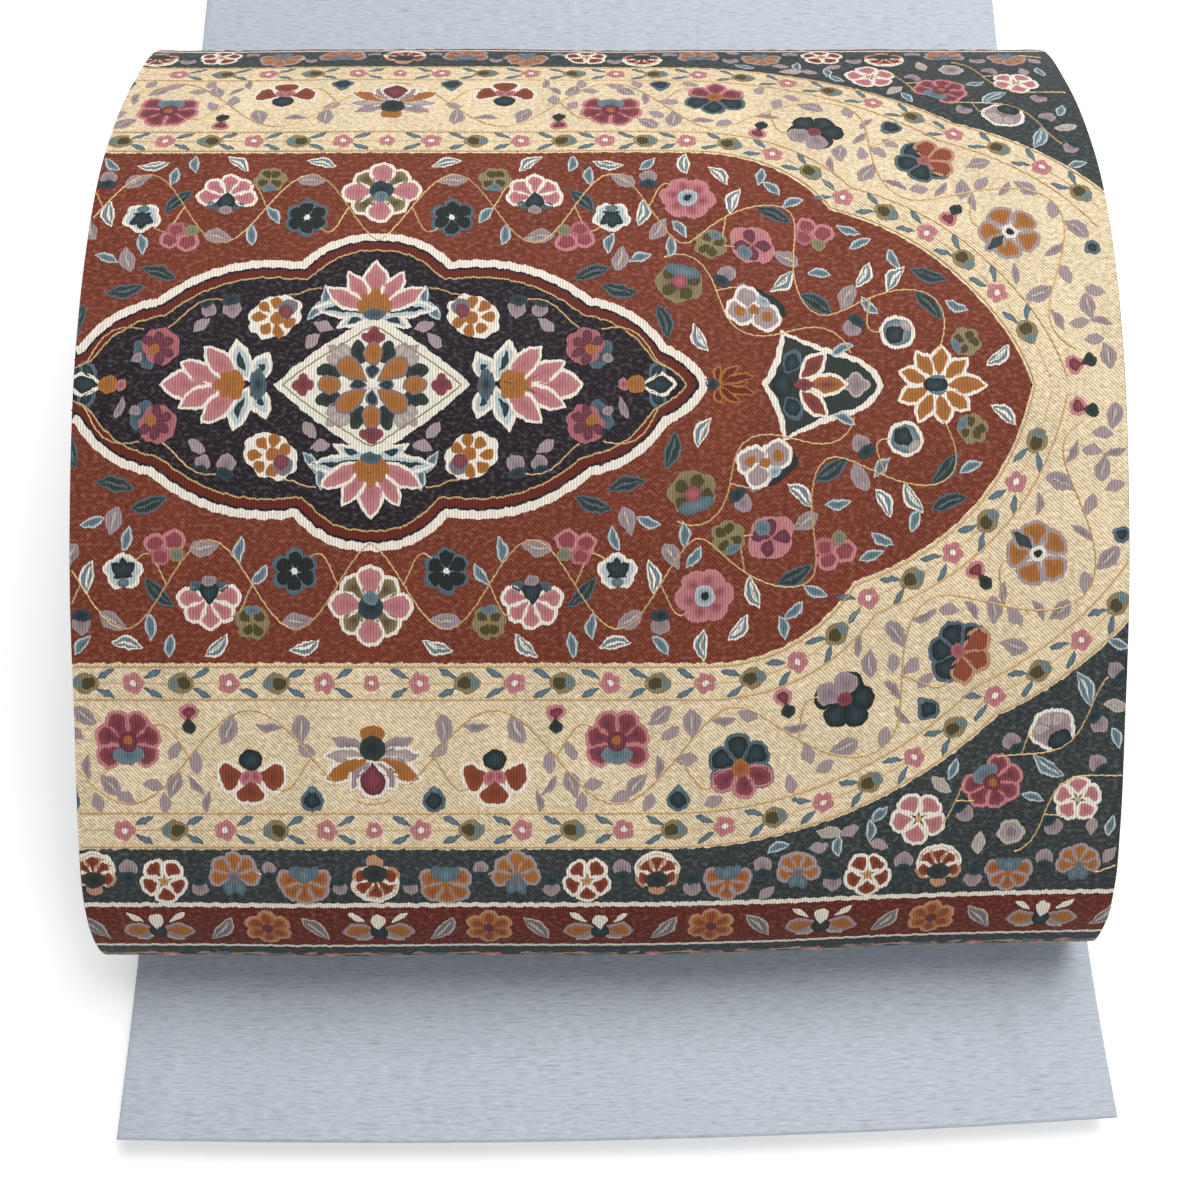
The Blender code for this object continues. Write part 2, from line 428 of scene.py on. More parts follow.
class Weave:
    """Patches and bands of weave for one piece, gathered as points in cloth millimetres with a lift."""

    def __init__(self, name):
        self.name = name
        self.points = []
        self.colours = []
        self.faces = []
        self.count = 0

    def add(self, u, v, lift, colour, wrap=False):
        """A grid of points, row by row. colour is one colour, or one for each row."""
        rows, columns = u.shape
        colour = np.asarray(colour, float)
        if colour.ndim == 1:
            colour = np.repeat(colour[None, :], rows, axis=0)
        self.points.append(np.stack([u, v, np.broadcast_to(lift, u.shape)], axis=-1).reshape(-1, 3))
        self.colours.append(np.repeat(colour, columns, axis=0))
        self.faces.append(grid_faces(rows, columns, wrap) + self.count)
        self.count += rows * columns

    def band(self, u, low, high, lift, colour, pitch=3.0):
        """Ground weave between two curves v = low and v = high at the same places u."""
        open_here = high - low > 0.02
        u, low, high = u[open_here], low[open_here], high[open_here]
        if len(u) < 2:
            return
        rows = int(np.ceil((high - low).max() / pitch)) + 1
        part = np.linspace(0, 1, rows)[:, None]
        self.add(np.repeat(u[None, :], rows, axis=0), low + (high - low) * part, lift, PAINT[colour])

    def patch(self, outline, yarn, heart=None, layer=1, skirt=True):
        """A patch of weave: rings from its outline shrunk to its middle, with a skirt down to the ground.

        heart is a second yarn that the colour passes to at the middle.
        """
        outline = np.asarray(outline, float)
        after = np.roll(outline, -1, axis=0)
        if (outline[:, 0] * after[:, 1] - outline[:, 1] * after[:, 0]).sum() < 0:
            outline = outline[::-1]
        ring = evenly(np.vstack([outline, outline[:1]]), OUTLINE_STEP)[:-1]
        ring = np.column_stack([wavered(*ring.T), combed(*ring.T)])
        if (np.abs(ring[:, 0]) < WIDTH / 2 - 0.4).sum() < 4:
            return
        ring[:, 0] = np.clip(ring[:, 0], -WIDTH / 2 + 0.3, WIDTH / 2 - 0.3)
        centre = (ring.min(axis=0) + ring.max(axis=0)) / 2
        reach = np.abs(ring - centre).max()
        rounds = max(1, int(np.ceil(reach / (1.8 if abs(centre[1]) > 140 else 4.0))))
        share = np.linspace(0, 1, rounds + 1)[:-1]
        u = ring[:, 0] + (centre[0] - ring[:, 0]) * share[:, None]
        v = ring[:, 1] + (centre[1] - ring[:, 1]) * share[:, None]
        lift = layer * LAYER_LIFT
        outer, inner = PAINT[yarn], PAINT[heart or yarn]
        colours = outer + (inner - outer) * share[:, None] ** 1.3
        if skirt:
            self.add(ring[:, 0][None, :].repeat(2, 0), ring[:, 1][None, :].repeat(2, 0),
                     np.array([[-0.02], [lift]]), outer, wrap=True)
        self.add(u, v, lift, colours, wrap=True)
        columns = len(ring)
        self.points.append(np.array([[centre[0], centre[1], lift]]))
        self.colours.append(np.array([inner]))
        base = self.count - columns
        here = np.arange(columns)
        fan = np.column_stack([base + here, base + (here + 1) % columns, np.full(columns, self.count)])
        self.faces.append(fan)
        self.count += 1

    def stripe(self, path, width, yarn, layer=1):
        """A woven line of even width along a path, flat on top, with a skirt on both sides.

        It stops at the selvedges, and goes on where the path comes back.
        """
        outside = np.flatnonzero(np.abs(path[:, 0]) > WIDTH / 2 - 0.3)
        if len(outside):
            for part in np.split(path, np.concatenate([outside, outside + 1])):
                if len(part) > 2:
                    self.stripe(part, width, yarn, layer)
            return
        out = left_normals(path)
        left, right = path + out * width / 2, path - out * width / 2
        left[:, 1], right[:, 1] = combed(*left.T), combed(*right.T)
        lift = layer * LAYER_LIFT
        u = np.stack([right[:, 0], right[:, 0], left[:, 0], left[:, 0]])
        v = np.stack([right[:, 1], right[:, 1], left[:, 1], left[:, 1]])
        lifts = np.array([[-0.02], [lift], [lift], [-0.02]])
        for low in (0, 1, 2):
            self.add(u[low : low + 2], v[low : low + 2], lifts[low : low + 2], PAINT[yarn])

    def thread(self, path, width=0.55, layer=4, yarn="gold", bead=0.0):
        """A couched metal thread along a path: a low ridge, rounder where bead swells it."""
        path = evenly(path, 0.7)
        across, along = path.T
        path = np.column_stack([across + 0.1 * np.sin(2.9 * along), along + 0.1 * np.sin(2.3 * across)])
        inside = np.abs(path[:, 0]) < WIDTH / 2 - 0.5
        path = path[inside]
        if len(path) < 3:
            return
        out = left_normals(path)
        across = np.array([-1, -0.6, 0, 0.6, 1])[:, None]
        height = np.array([0.0, 0.72, 1.0, 0.72, 0.0])[:, None]
        swell = 1 + bead * np.sin(distances(path) * 3.4)[None, :]
        u = path[:, 0] - out[:, 0] * across * width / 2 * swell
        v = path[:, 1] - out[:, 1] * across * width / 2 * swell
        lift = layer * LAYER_LIFT + (height - 0.3) * width * 0.5 * swell
        self.add(u[::-1, :], v[::-1, :], lift[::-1, :], PAINT[yarn])

    def finish(self, material):
        """The piece, with every patch laid on the drum."""
        flat = np.vstack(self.points)
        faces = [face for block in self.faces for face in block.tolist()]
        colours = np.column_stack([np.vstack(self.colours), np.ones(len(flat))])
        points = on_drum(flat[:, 0], flat[:, 1], flat[:, 2])
        return mesh_object(self.name, points, faces, material, flat[:, :2] * MM, colours)


WIDTH = CLOTH_WIDTH / MM
LAYER_LIFT = 0.035


# ---------------------------------------------------------------- outlines of the grounds

# Half of the drum's pattern is worked out, from its middle line v = 0 outwards, and turned over.
# Each ground's edge is a few stretches between corners u, w in cloth millimetres: where a stretch
# starts, where it ends and how far it bows outwards. The medallion's count from its own middle.
AXIS_U = -67.0
MEDALLION_REACH = 98.0
MEDALLION_EDGE = (
    ((0, 48), (22, 38), 3),
    ((22, 38), (64, 26), 5),
    ((64, 26), (86, 11), 3),
    ((86, 11), (MEDALLION_REACH, 0), 1.5),
)
RED_HALF = 82.0
RED_EDGE = (
    ((-165, RED_HALF), (30, RED_HALF), 0),
    ((30, RED_HALF), (74, 58), 7),
    ((74, 58), (127, 0), 11),
)
CREAM_HALF = 138.0
CREAM_EDGE = (
    ((-165, CREAM_HALF), (20, CREAM_HALF), 0),
    ((20, CREAM_HALF), (117, 98), 11),
    ((117, 98), (164, 58), 4),
)
# The diamond at the medallion's heart: half its length and half its height
CARTOUCHE_REACH = 29.0
CARTOUCHE_HALF = 21.0
# The pattern's upper half is woven this much nearer the left selvedge, in mm
UPPER_SLIP = 4.0


def bowed(start, end, rise, step=1.0):
    """A stretch from start to end that bows to its left: t(1 - t) times four times the rise."""
    start, end = np.asarray(start, float), np.asarray(end, float)
    run = end - start
    length = math.hypot(*run)
    t = np.linspace(0, 1, max(int(length / step), 2))[:, None]
    return start + run * t + np.array([-run[1], run[0]]) / length * rise * 4 * t * (1 - t)


def joined(stretches, step=1.0):
    """One line through several bowed stretches, with a corner wherever two of them meet."""
    lines = [bowed(start, end, rise, step) for start, end, rise in stretches]
    return np.vstack([line if i == 0 else line[1:] for i, line in enumerate(lines)])


def slip(u, w, side):
    """How far the upper half's pattern stands to the left: nothing on the middle line and far left."""
    return (side > 0) * UPPER_SLIP * eased((u + 20) / 60) * eased(w / 40)


def halved(line, side):
    """The line for one half of the drum: side 1 is towards the crown, and -1 towards the lip."""
    return np.column_stack([line[:, 0] - slip(line[:, 0], line[:, 1], side), side * line[:, 1]])


def reach_at(u, line):
    """How far from the middle line a line of (u, v) lies at each u, and 0 past its end."""
    order = np.argsort(line[:, 0])
    return np.interp(u, line[order, 0], np.abs(line[order, 1]), right=0.0)


def beside(line, distance):
    """A line a fixed distance to the left of another, without the loops that sharp corners make."""
    moved = line + left_normals(line) * distance
    gaps = np.linalg.norm(moved[:, None, :] - line[None, :, :], axis=-1).min(axis=1)
    return moved[gaps > abs(distance) - 0.15]


MEDALLION_QUARTER = joined(MEDALLION_EDGE)
RED_LINE = joined(RED_EDGE)
CREAM_LINE = joined(CREAM_EDGE)

# Lines that part the lip's bands, outwards from the pattern's middle line
FIRST_LINE = 156.0
SECOND_LINE = 174.0
LAST_LINE = 191.0

# Middles of the red, cream and green grounds on the axis, and places along the middle line
ROSETTE_W = (48.0 + RED_HALF) / 2
CREAM_W = (RED_HALF + CREAM_HALF) / 2
GREEN_W = (CREAM_HALF + FIRST_LINE) / 2
MEDALLION_TIP = AXIS_U + MEDALLION_REACH
ARCH_TIP = 127.0
SHIELD_U = MEDALLION_TIP + 0.36 * (ARCH_TIP - MEDALLION_TIP)
STAR_U = MEDALLION_TIP + 0.71 * (ARCH_TIP - MEDALLION_TIP)


def medallion_line(inset=0.0):
    """The whole medallion's edge, anticlockwise from its right-hand point, drawn in by inset."""
    quarter = beside(MEDALLION_QUARTER, -inset)
    quarter = quarter[(quarter > 0.2).all(axis=1)]
    line = np.vstack([
        quarter[::-1],
        quarter * (-1, 1),
        quarter[::-1] * (-1, -1),
        quarter * (1, -1),
        quarter[-1:],
    ])
    return line + (AXIS_U, 0)


def medallion_reach(u):
    """Half the medallion's height at each u."""
    return np.interp(np.abs(u - AXIS_U), MEDALLION_QUARTER[:, 0], MEDALLION_QUARTER[:, 1], right=0.0)


def weave_grounds():
    """The cloth's coloured grounds, edge to edge, one band of weave for each."""
    grounds = Weave("ground_weave")
    u = np.arange(-WIDTH / 2 + 0.2, WIDTH / 2, COMB_PITCH)
    comb = combed(u, 0 * u)
    for side in (1, -1):
        red = reach_at(u, halved(RED_LINE, side)) + comb
        red = np.where(red > 1, red, 0)
        cream = reach_at(u, halved(CREAM_LINE, side)) + comb
        medallion = medallion_reach(u) + comb
        medallion = np.where(medallion > 1, medallion, 0)
        lines = (
            (0 * u, medallion, "aubergine"),
            (medallion, red, "red"),
            (red, cream, "cream"),
            (cream, 0 * u + FIRST_LINE, "green"),
            # The red guard band on the lip: its darker red carries painted shade
            (0 * u + FIRST_LINE, 0 * u + SECOND_LINE, "guard red with painted shade"),
            (0 * u + SECOND_LINE, 0 * u + LAST_LINE, "green"),
        )
        for low, high, colour in lines:
            pitch = 2.6 if colour in ("green", "guard red with painted shade") else 4.4
            if side > 0:
                grounds.band(u, low, high, 0.0, colour, pitch)
            else:
                grounds.band(u, -high, -low, 0.0, colour, pitch)
    return grounds


def weave_lines(weave):
    """White and pale lines that part one ground from the next."""
    weave.stripe(evenly(medallion_line(0.0), COMB_PITCH), 2.5, "white", layer=3)
    weave.stripe(evenly(medallion_line(4.7), COMB_PITCH), 0.5, "gold", layer=3)
    weave.stripe(evenly(medallion_line(3.2), COMB_PITCH), 2.4, "guard red with painted shade", layer=2)
    across = np.arange(-WIDTH / 2 + 0.3, WIDTH / 2, COMB_PITCH)
    for side in (1, -1):
        for place, width in ((FIRST_LINE, 1.5), (SECOND_LINE, 1.1), (LAST_LINE, 0.9)):
            line = np.column_stack([across, 0 * across + side * place])
            weave.stripe(line, width, "white", layer=2)


def weave_gold_lines(gold):
    """Fine gold lines beside the arches."""
    for side in (1, -1):
        red = halved(RED_LINE, side)
        cream = halved(CREAM_LINE, side)
        for line, away in ((red, 1.0), (red, 10.8), (cream, -11.2), (cream, -0.8)):
            gold.thread(trimmed(beside(line, away * side)), layer=3)


def trimmed(line):
    """The part of a line that lies on the cloth and on its own side of the middle."""
    side = np.sign(line[len(line) // 4, 1])
    return line[(np.abs(line[:, 0]) < WIDTH / 2 - 0.6) & (line[:, 1] * side > 0.2)]


# ---------------------------------------------------------------- motif shapes


class Spot:
    """A place on the cloth for a motif: its own first axis points along turn, in degrees from +u."""

    def __init__(self, u, v, turn=0.0, size=1.0, flip=1):
        self.at = np.array([u, v], float)
        self.turn = turn
        self.size = size
        self.flip = flip

    def lay(self, outline):
        """Motif millimetres as cloth millimetres."""
        a, b = np.asarray(outline, float).T * self.size
        b = b * self.flip
        c, s = math.cos(math.radians(self.turn)), math.sin(math.radians(self.turn))
        return np.column_stack([a * c - b * s, a * s + b * c]) + self.at

    def on(self, a, b, turn=0.0, size=1.0):
        """A smaller motif's place on this one."""
        u, v = self.lay([(a, b)])[0]
        return Spot(u, v, self.turn + self.flip * turn, self.size * size, self.flip)


def blade(start, reach, width, blunt=1.0, bend=0.0):
    """A petal or leaf along +a: half its width is a sine over its length, made rounder at the ends
    by a blunt power under 1 and then widest past its middle, and bend bows it sideways."""
    belly = 1.0 + 1.5 * max(0.0, 0.95 - blunt)
    t = np.linspace(0, 1, 13)
    half = width / 2 * np.sin(np.pi * t**belly) ** blunt
    a = start + (reach - start) * t
    bow = bend * np.sin(np.pi * t)
    return np.vstack([np.column_stack([a, half + bow]), np.column_stack([a, bow - half])[-2:0:-1]])


def round_shape(wide, tall, lobes=0, depth=0.0, first=0.0):
    """An oval, its radius drawn in by depth between each two of its lobes."""
    t = np.linspace(0, 2 * np.pi, 37 if lobes else 21)[:-1]
    notch = 1 - depth * (1 - np.abs(np.cos(lobes * (t - math.radians(first)) / 2)) ** 0.7) if lobes else 1
    return np.column_stack([wide / 2 * np.cos(t) * notch, tall / 2 * np.sin(t) * notch])


def shrunk(outline, inset):
    """The outline drawn in towards its middle by an even inset."""
    centre = (outline.min(axis=0) + outline.max(axis=0)) / 2
    arm = outline - centre
    reach = np.linalg.norm(arm, axis=1, keepdims=True)
    return centre + arm * np.maximum(1 - inset / np.maximum(reach, 1e-6), 0.3)


def rimmed(weave, spot, outline, rim, fill, heart=None, layer=2, inset=RIM):
    """A patch with an outline in another yarn."""
    outline = spot.lay(outline)
    if rim:
        weave.patch(outline, rim, layer=layer)
        outline = shrunk(outline, inset)
    weave.patch(outline, fill, heart, layer=layer + 1, skirt=not rim)


# A flower is drawn in rows, from its back to its front, in its own millimetres with its crown at +a.
# ring: first and last petal angle, number of petals, where they start and end, width, blunt, yarns
# disc: place a and b, width, height, yarn, heart
# lobe: place a and b, width, height, lobes, depth, first angle, rim, fill
FLOWERS = {
    "six petal rosette": (
        ("ring", 45, 315, 4, 1.0, 11.0, 8.4, 0.62, "white", "olive", "moss"),
        ("ring", 0, 270, 4, 1.0, 12.2, 8.6, 0.6, "white", "pink", "deep pink"),
        ("disc", 0.6, 0, 7.2, 7.6, "teal", "ink"),
        ("disc", -2.0, 0, 4.2, 4.4, "blue", "steel"),
    ),
    "teal rosette": (
        ("lobe", 0, 0, 14.2, 14.2, 6, 0.24, 0, "steel", "blue"),
        ("ring", 0, 300, 6, 0.7, 6.0, 4.2, 0.55, None, "ink", "ink"),
        ("disc", 0, 0, 1.9, 1.9, "white", "white"),
    ),
    "carnation": (
        ("ring", -128, 128, 2, 0.0, 8.6, 6.0, 0.8, None, "steel", "teal"),
        ("ring", -92, 92, 5, 0.5, 11.6, 8.8, 0.62, "white", "pink", "deep pink"),
        ("ring", 180, 180, 1, -2.6, 6.0, 7.0, 0.6, None, "ink", "teal"),
        ("disc", -6.4, 0, 4.0, 5.4, "mauve", "dusk"),
    ),
    "tulip": (
        ("lobe", 0, 0, 11.0, 12.2, 5, 0.22, 0, "white", "pale blue"),
        ("ring", -55, 55, 3, -3.4, 4.2, 4.0, 0.8, None, "ink", "teal"),
        ("disc", -3.2, 0, 2.6, 3.6, "steel", "blue"),
    ),
    "mauve round": (
        ("lobe", 0, 0, 16.5, 17.5, 6, 0.15, 30, None, "pink", "rose"),
        ("ring", 20, 320, 6, 2.0, 6.6, 3.2, 0.7, None, "deep pink", "rose"),
        ("disc", 0, 0, 6.6, 6.0, "pale blue", "steel"),
        ("disc", 0, 0, 2.6, 2.4, "ink", "ink"),
    ),
    "pansy": (
        ("lobe", 0, 0, 13.0, 15.5, 4, 0.20, 0, None, "pink", "deep pink"),
        ("ring", -125, 125, 4, 0.4, 5.8, 3.9, 0.7, None, "wine", "purple"),
        ("disc", 3.6, 0, 4.6, 4.8, "blue", "steel"),
    ),
    "olive flower": (
        ("lobe", 0, 0, 12.4, 12.4, 6, 0.16, 20, None, "olive", "olive"),
        ("ring", 30, 330, 4, 0.8, 4.9, 3.6, 0.6, None, "moss", "moss"),
        ("disc", -4.2, 0, 3.4, 5.4, "blue", "steel"),
    ),
    "olive crown": (
        ("lobe", 0.6, 0, 13.4, 15.0, 5, 0.16, 0, None, "olive", "moss"),
        ("ring", -110, 110, 4, 1.6, 6.2, 4.0, 0.7, None, "moss", "moss"),
        ("disc", -3.4, 0, 4.4, 11.0, "steel", "blue"),
        ("disc", 0.2, 0, 4.6, 4.8, "rose", "deep pink"),
    ),
    "rose cluster": (
        ("lobe", 2.2, -2.6, 8.2, 8.6, 5, 0.12, 0, "pink", "rose"),
        ("lobe", 1.2, 3.8, 7.4, 8.0, 5, 0.12, 0, "pink", "rose"),
        ("lobe", -3.2, 2.0, 6.8, 7.4, 5, 0.12, 0, "deep pink", "rose"),
        ("lobe", -2.8, -3.8, 5.0, 5.6, 5, 0.1, 0, "olive", "sage"),
    ),
    "shaded pansy": (
        ("disc", 3.6, -2.4, 5.4, 13.6, "ink", "teal"),
        ("disc", 3.0, 3.8, 4.0, 9.0, "dusk", "mauve"),
        ("lobe", -0.4, -4.8, 9.4, 9.6, 5, 0.1, 0, "white", "mauve"),
        ("lobe", -3.6, 2.2, 8.4, 10.4, 5, 0.1, 0, "white", "mauve"),
        ("lobe", 1.4, 3.6, 7.6, 8.2, 5, 0.1, 0, "white", "mauve"),
        ("disc", 0.0, -4.8, 3.2, 3.4, "orange", "amber"),
        ("disc", -3.6, 2.6, 2.8, 3.6, "orange", "amber"),
        ("disc", -0.6, -0.6, 3.0, 3.2, "orange", "amber"),
        ("disc", 3.2, -1.2, 2.8, 4.6, "pale blue", "blue"),
    ),
    "flame flower": (
        ("ring", -74, 74, 3, 0.5, 12.2, 8.8, 1.0, "white", "pink", "deep pink"),
        ("ring", -104, 104, 2, -1.5, 10.6, 5.2, 1.0, None, "pale blue", "steel"),
        ("disc", -4.2, 0, 6.6, 7.6, "teal", "ink"),
        ("disc", -0.2, 0, 3.0, 4.2, "olive", "moss"),
    ),
    "star": (
        ("ring", 40, 320, 8, 2.0, 12.4, 6.8, 0.95, "white", "orange", "amber"),
        ("ring", 0, 0, 1, 2.0, 14.8, 7.4, 0.95, "white", "orange", "amber"),
        ("disc", 0, 0, 6.2, 6.2, "steel", "pale blue"),
        ("disc", -0.5, 0, 7.6, 4.2, "ink", "teal"),
    ),
    "orange blossom": (
        ("lobe", 0, 0, 17.4, 13.4, 8, 0.14, 0, None, "white", "white"),
        ("ring", 55, 305, 6, 2.2, 6.6, 3.5, 0.6, None, "orange", "amber"),
        ("disc", 0.2, 0.8, 4.0, 4.2, "orange", "amber"),
        ("disc", 4.6, -0.6, 6.0, 5.4, "dusk", "steel"),
        ("disc", 3.6, 0.2, 4.2, 4.4, "purple", "rose"),
    ),
    "rose blossom": (
        ("disc", -4.4, 0, 5.4, 10.0, "steel", "teal"),
        ("lobe", 1.2, 0, 11.4, 12.2, 7, 0.16, 0, None, "deep pink", "rose"),
        ("ring", -110, 110, 5, 0.6, 5.6, 3.0, 0.7, None, "wine", "purple"),
        ("disc", -1.0, 0, 3.4, 3.2, "orange", "amber"),
        ("disc", -6.6, 0, 3.4, 3.0, "mauve", "dusk"),
    ),
    "split flower": (
        ("ring", -74, 74, 3, 1.2, 9.8, 9.4, 0.5, "white", "rust", "red"),
        ("ring", -37, 37, 2, -1.0, 4.6, 3.2, 0.8, None, "pink", "rose"),
        ("disc", -3.0, 0, 5.6, 6.4, "ink", "teal"),
    ),
    "great flower": (
        ("ring", -116, 116, 2, 0.5, 12.0, 4.6, 1.0, None, "mauve", "dusk"),
        ("ring", -92, 92, 2, 0.5, 13.4, 5.6, 1.0, "white", "mauve", "stone"),
        ("ring", -64, 64, 2, 0.5, 14.6, 6.6, 0.9, "white", "orange", "amber"),
        ("ring", -34, 34, 2, 0.5, 11.0, 6.0, 0.9, "white", "mauve", "dusk"),
        ("ring", 0, 0, 1, 0.5, 11.4, 9.0, 0.75, "white", "wine", "rose"),
        ("disc", -6.4, 0, 4.4, 6.4, "orange", "amber"),
        ("disc", -2.4, 0, 6.8, 7.0, "leaf green", "ink"),
    ),
    "teal bud": (
        ("ring", 0, 0, 1, -4.2, 5.4, 8.4, 0.6, "steel", "ink", "teal"),
        ("disc", -2.6, 0, 2.0, 3.6, "steel", "blue"),
    ),
    "mauve bud": (
        ("ring", 0, 0, 1, -4.2, 4.4, 6.6, 0.7, None, "mauve", "dusk"),
        ("disc", -2.4, 0, 4.2, 6.6, "teal", "ink"),
    ),
    "rose bud": (
        ("ring", 0, 0, 1, -2.4, 4.8, 7.0, 0.5, "pink", "wine", "rose"),
        ("ring", 180, 180, 1, 0.4, 6.0, 5.0, 0.8, None, "leaf green", "ink"),
    ),
    "white bud": (
        ("lobe", 0, 0, 10.8, 10.8, 8, 0.05, 0, "white", "steel", "pale blue"),
        ("ring", 0, 0, 1, -2.8, 4.0, 5.6, 0.7, None, "ink", "teal"),
        ("disc", -3.2, 0, 2.6, 4.6, "mauve", "stone"),
    ),
    "teal rust flower": (
        ("ring", 70, 250, 4, 0.5, 9.2, 7.6, 0.5, "steel", "ink", "teal"),
        ("ring", -95, 25, 3, 0.0, 9.2, 7.0, 0.7, "peach", "rust", "rust"),
        ("disc", -0.6, 0.4, 4.0, 4.0, "deep pink", "rose"),
    ),
    "orange flower": (
        ("ring", 40, 320, 5, 1.4, 8.8, 7.8, 0.55, "mauve", "orange", "amber"),
        ("ring", 0, 0, 1, 1.0, 9.6, 5.0, 1.0, "mauve", "leaf green", "teal"),
        ("disc", 0, 0, 4.4, 4.4, "white", "pale blue"),
        ("disc", 0, 0, 2.2, 2.2, "ink", "ink"),
    ),
    "teal rose flower": (
        ("ring", 60, 300, 5, 0.6, 9.6, 7.4, 0.6, "steel", "ink", "teal"),
        ("ring", -58, 58, 3, 0.4, 9.6, 6.6, 0.6, "pink", "rose", "wine"),
        ("disc", 0.4, 0, 4.8, 5.0, "orange", "rust"),
    ),
    "peony": (
        ("ring", -120, 120, 6, 0.6, 9.4, 7.2, 0.55, "pink", "rose", "wine"),
        ("disc", -3.2, 0, 5.2, 8.4, "blue", "steel"),
        ("disc", 0.4, 0, 5.6, 5.2, "wine", "rose"),
        ("disc", 0.8, 0, 2.4, 2.4, "orange", "amber"),
    ),
    "dusky flower": (
        ("ring", 50, 310, 5, 0.6, 8.2, 6.8, 0.6, None, "ink", "teal"),
        ("ring", -35, 35, 2, 0.6, 8.2, 6.6, 0.6, None, "mauve", "dusk"),
        ("disc", 0.4, 0, 3.8, 4.2, "rose", "wine"),
    ),
    "pink five petal": (
        ("ring", 0, 288, 5, 0.9, 8.6, 8.0, 0.62, "white", "pink", "deep pink"),
        ("disc", 0, 0, 2.2, 2.2, "gold", "gold"),
    ),
    "red five petal": (
        ("ring", 0, 288, 5, 0.9, 8.4, 8.0, 0.62, "white", "rust", "guard red with painted shade"),
        ("disc", 0, 0, 3.0, 3.0, "gold", "orange"),
    ),
    "mixed flower": (
        ("ring", -100, 100, 5, 0.4, 9.2, 7.4, 0.5, "mauve", "orange", "rust"),
        ("ring", -138, 138, 2, 0.4, 7.0, 4.2, 0.9, None, "steel", "blue"),
        ("disc", -2.4, 0, 5.6, 6.4, "steel", "blue"),
        ("disc", 1.4, 0, 2.4, 2.6, "orange", "amber"),
    ),
    "orange mauve flower": (
        ("ring", -96, 96, 5, 0.2, 8.8, 6.8, 0.5, "mauve", "orange", "amber"),
        ("ring", -160, 160, 2, 0.6, 7.6, 4.6, 0.9, None, "steel", "blue"),
        ("disc", -0.6, 0, 3.8, 4.0, "dusk", "steel"),
    ),
    "fan flower": (
        ("lobe", 2.2, 0, 14.6, 17.2, 8, 0.05, 0, None, "white", "white"),
        ("ring", -100, 100, 5, 0.0, 8.6, 7.6, 0.5, "peach", "rust", "guard red with painted shade"),
        ("ring", 180, 180, 1, 1.5, 8.4, 6.4, 0.6, None, "peach", "peach"),
        ("disc", -1.8, 0, 6.6, 8.6, "leaf green", "ink"),
    ),
    "mauve pansy": (
        ("lobe", 0, 0, 13.0, 14.6, 5, 0.12, 0, "white", "mauve", "dusk"),
        ("ring", -60, 60, 3, 1.0, 5.4, 2.8, 0.8, None, "stone", "mauve"),
        ("disc", -4.0, 0, 5.6, 7.4, "ink", "teal"),
    ),
    "dark flower": (
        ("ring", 0, 300, 6, 0.4, 6.8, 5.4, 0.6, "steel", "ink", "teal"),
        ("disc", 0.6, 0, 3.4, 3.4, "blue", "steel"),
    ),
    "steel flower": (
        ("ring", 0, 300, 6, 0.4, 9.4, 7.6, 0.5, "steel", "blue", "teal"),
        ("disc", 1.0, 0, 5.6, 5.0, "peach", "peach"),
        ("disc", -2.6, 1.0, 5.0, 4.4, "ink", "teal"),
    ),
    "pink fan": (
        ("ring", -104, 104, 7, 0.5, 12.0, 8.4, 0.66, "white", "pink", "deep pink"),
        ("ring", -118, 118, 2, 0, 5.0, 3.2, 0.9, None, "pale blue", "steel"),
        ("ring", 180, 180, 1, -2.6, 4.0, 5.4, 0.7, None, "ink", "teal"),
    ),
    "pink floret": (
        ("lobe", 0, 0, 6.6, 6.4, 5, 0.24, 0, None, "pink", "deep pink"),
        ("disc", 0, 0, 1.9, 1.9, "white", "white"),
    ),
    "olive floret": (
        ("lobe", 0, 0, 8.0, 6.4, 4, 0.12, 0, None, "olive", "olive"),
        ("disc", 0.8, 0.0, 4.2, 3.6, "moss", "moss"),
        ("disc", -2.2, 0, 2.6, 3.8, "blue", "sage"),
    ),
    "round spray": (
        ("lobe", 0, 0, 8.6, 8.6, 6, 0.14, 0, "stone", "mauve"),
        ("disc", 0, 0, 3.0, 3.0, "dusk", "dusk"),
    ),
    "bow": (
        ("ring", -52, 52, 2, 1.0, 9.2, 4.8, 0.9, "stone", "mauve", "dusk"),
        ("ring", -80, 80, 2, 1.0, 11.2, 7.0, 0.8, "mauve", "orange", "amber"),
        ("disc", 1.6, 0, 6.2, 5.6, "ink", "teal"),
        ("ring", 180, 180, 1, -0.6, 5.6, 4.6, 0.6, None, "white", "white"),
        ("ring", -124, 124, 2, 4.8, 10.8, 1.9, 0.8, None, "white", "white"),
    ),
    "guard rosette": (
        ("lobe", 0, 0, 11.0, 11.6, 6, 0.22, 0, "peach", "orange"),
        ("ring", 0, 300, 6, 1.2, 4.4, 2.0, 0.8, None, "rust", "rust"),
        ("disc", 0, 0, 2.6, 2.6, "wine", "wine"),
    ),
}


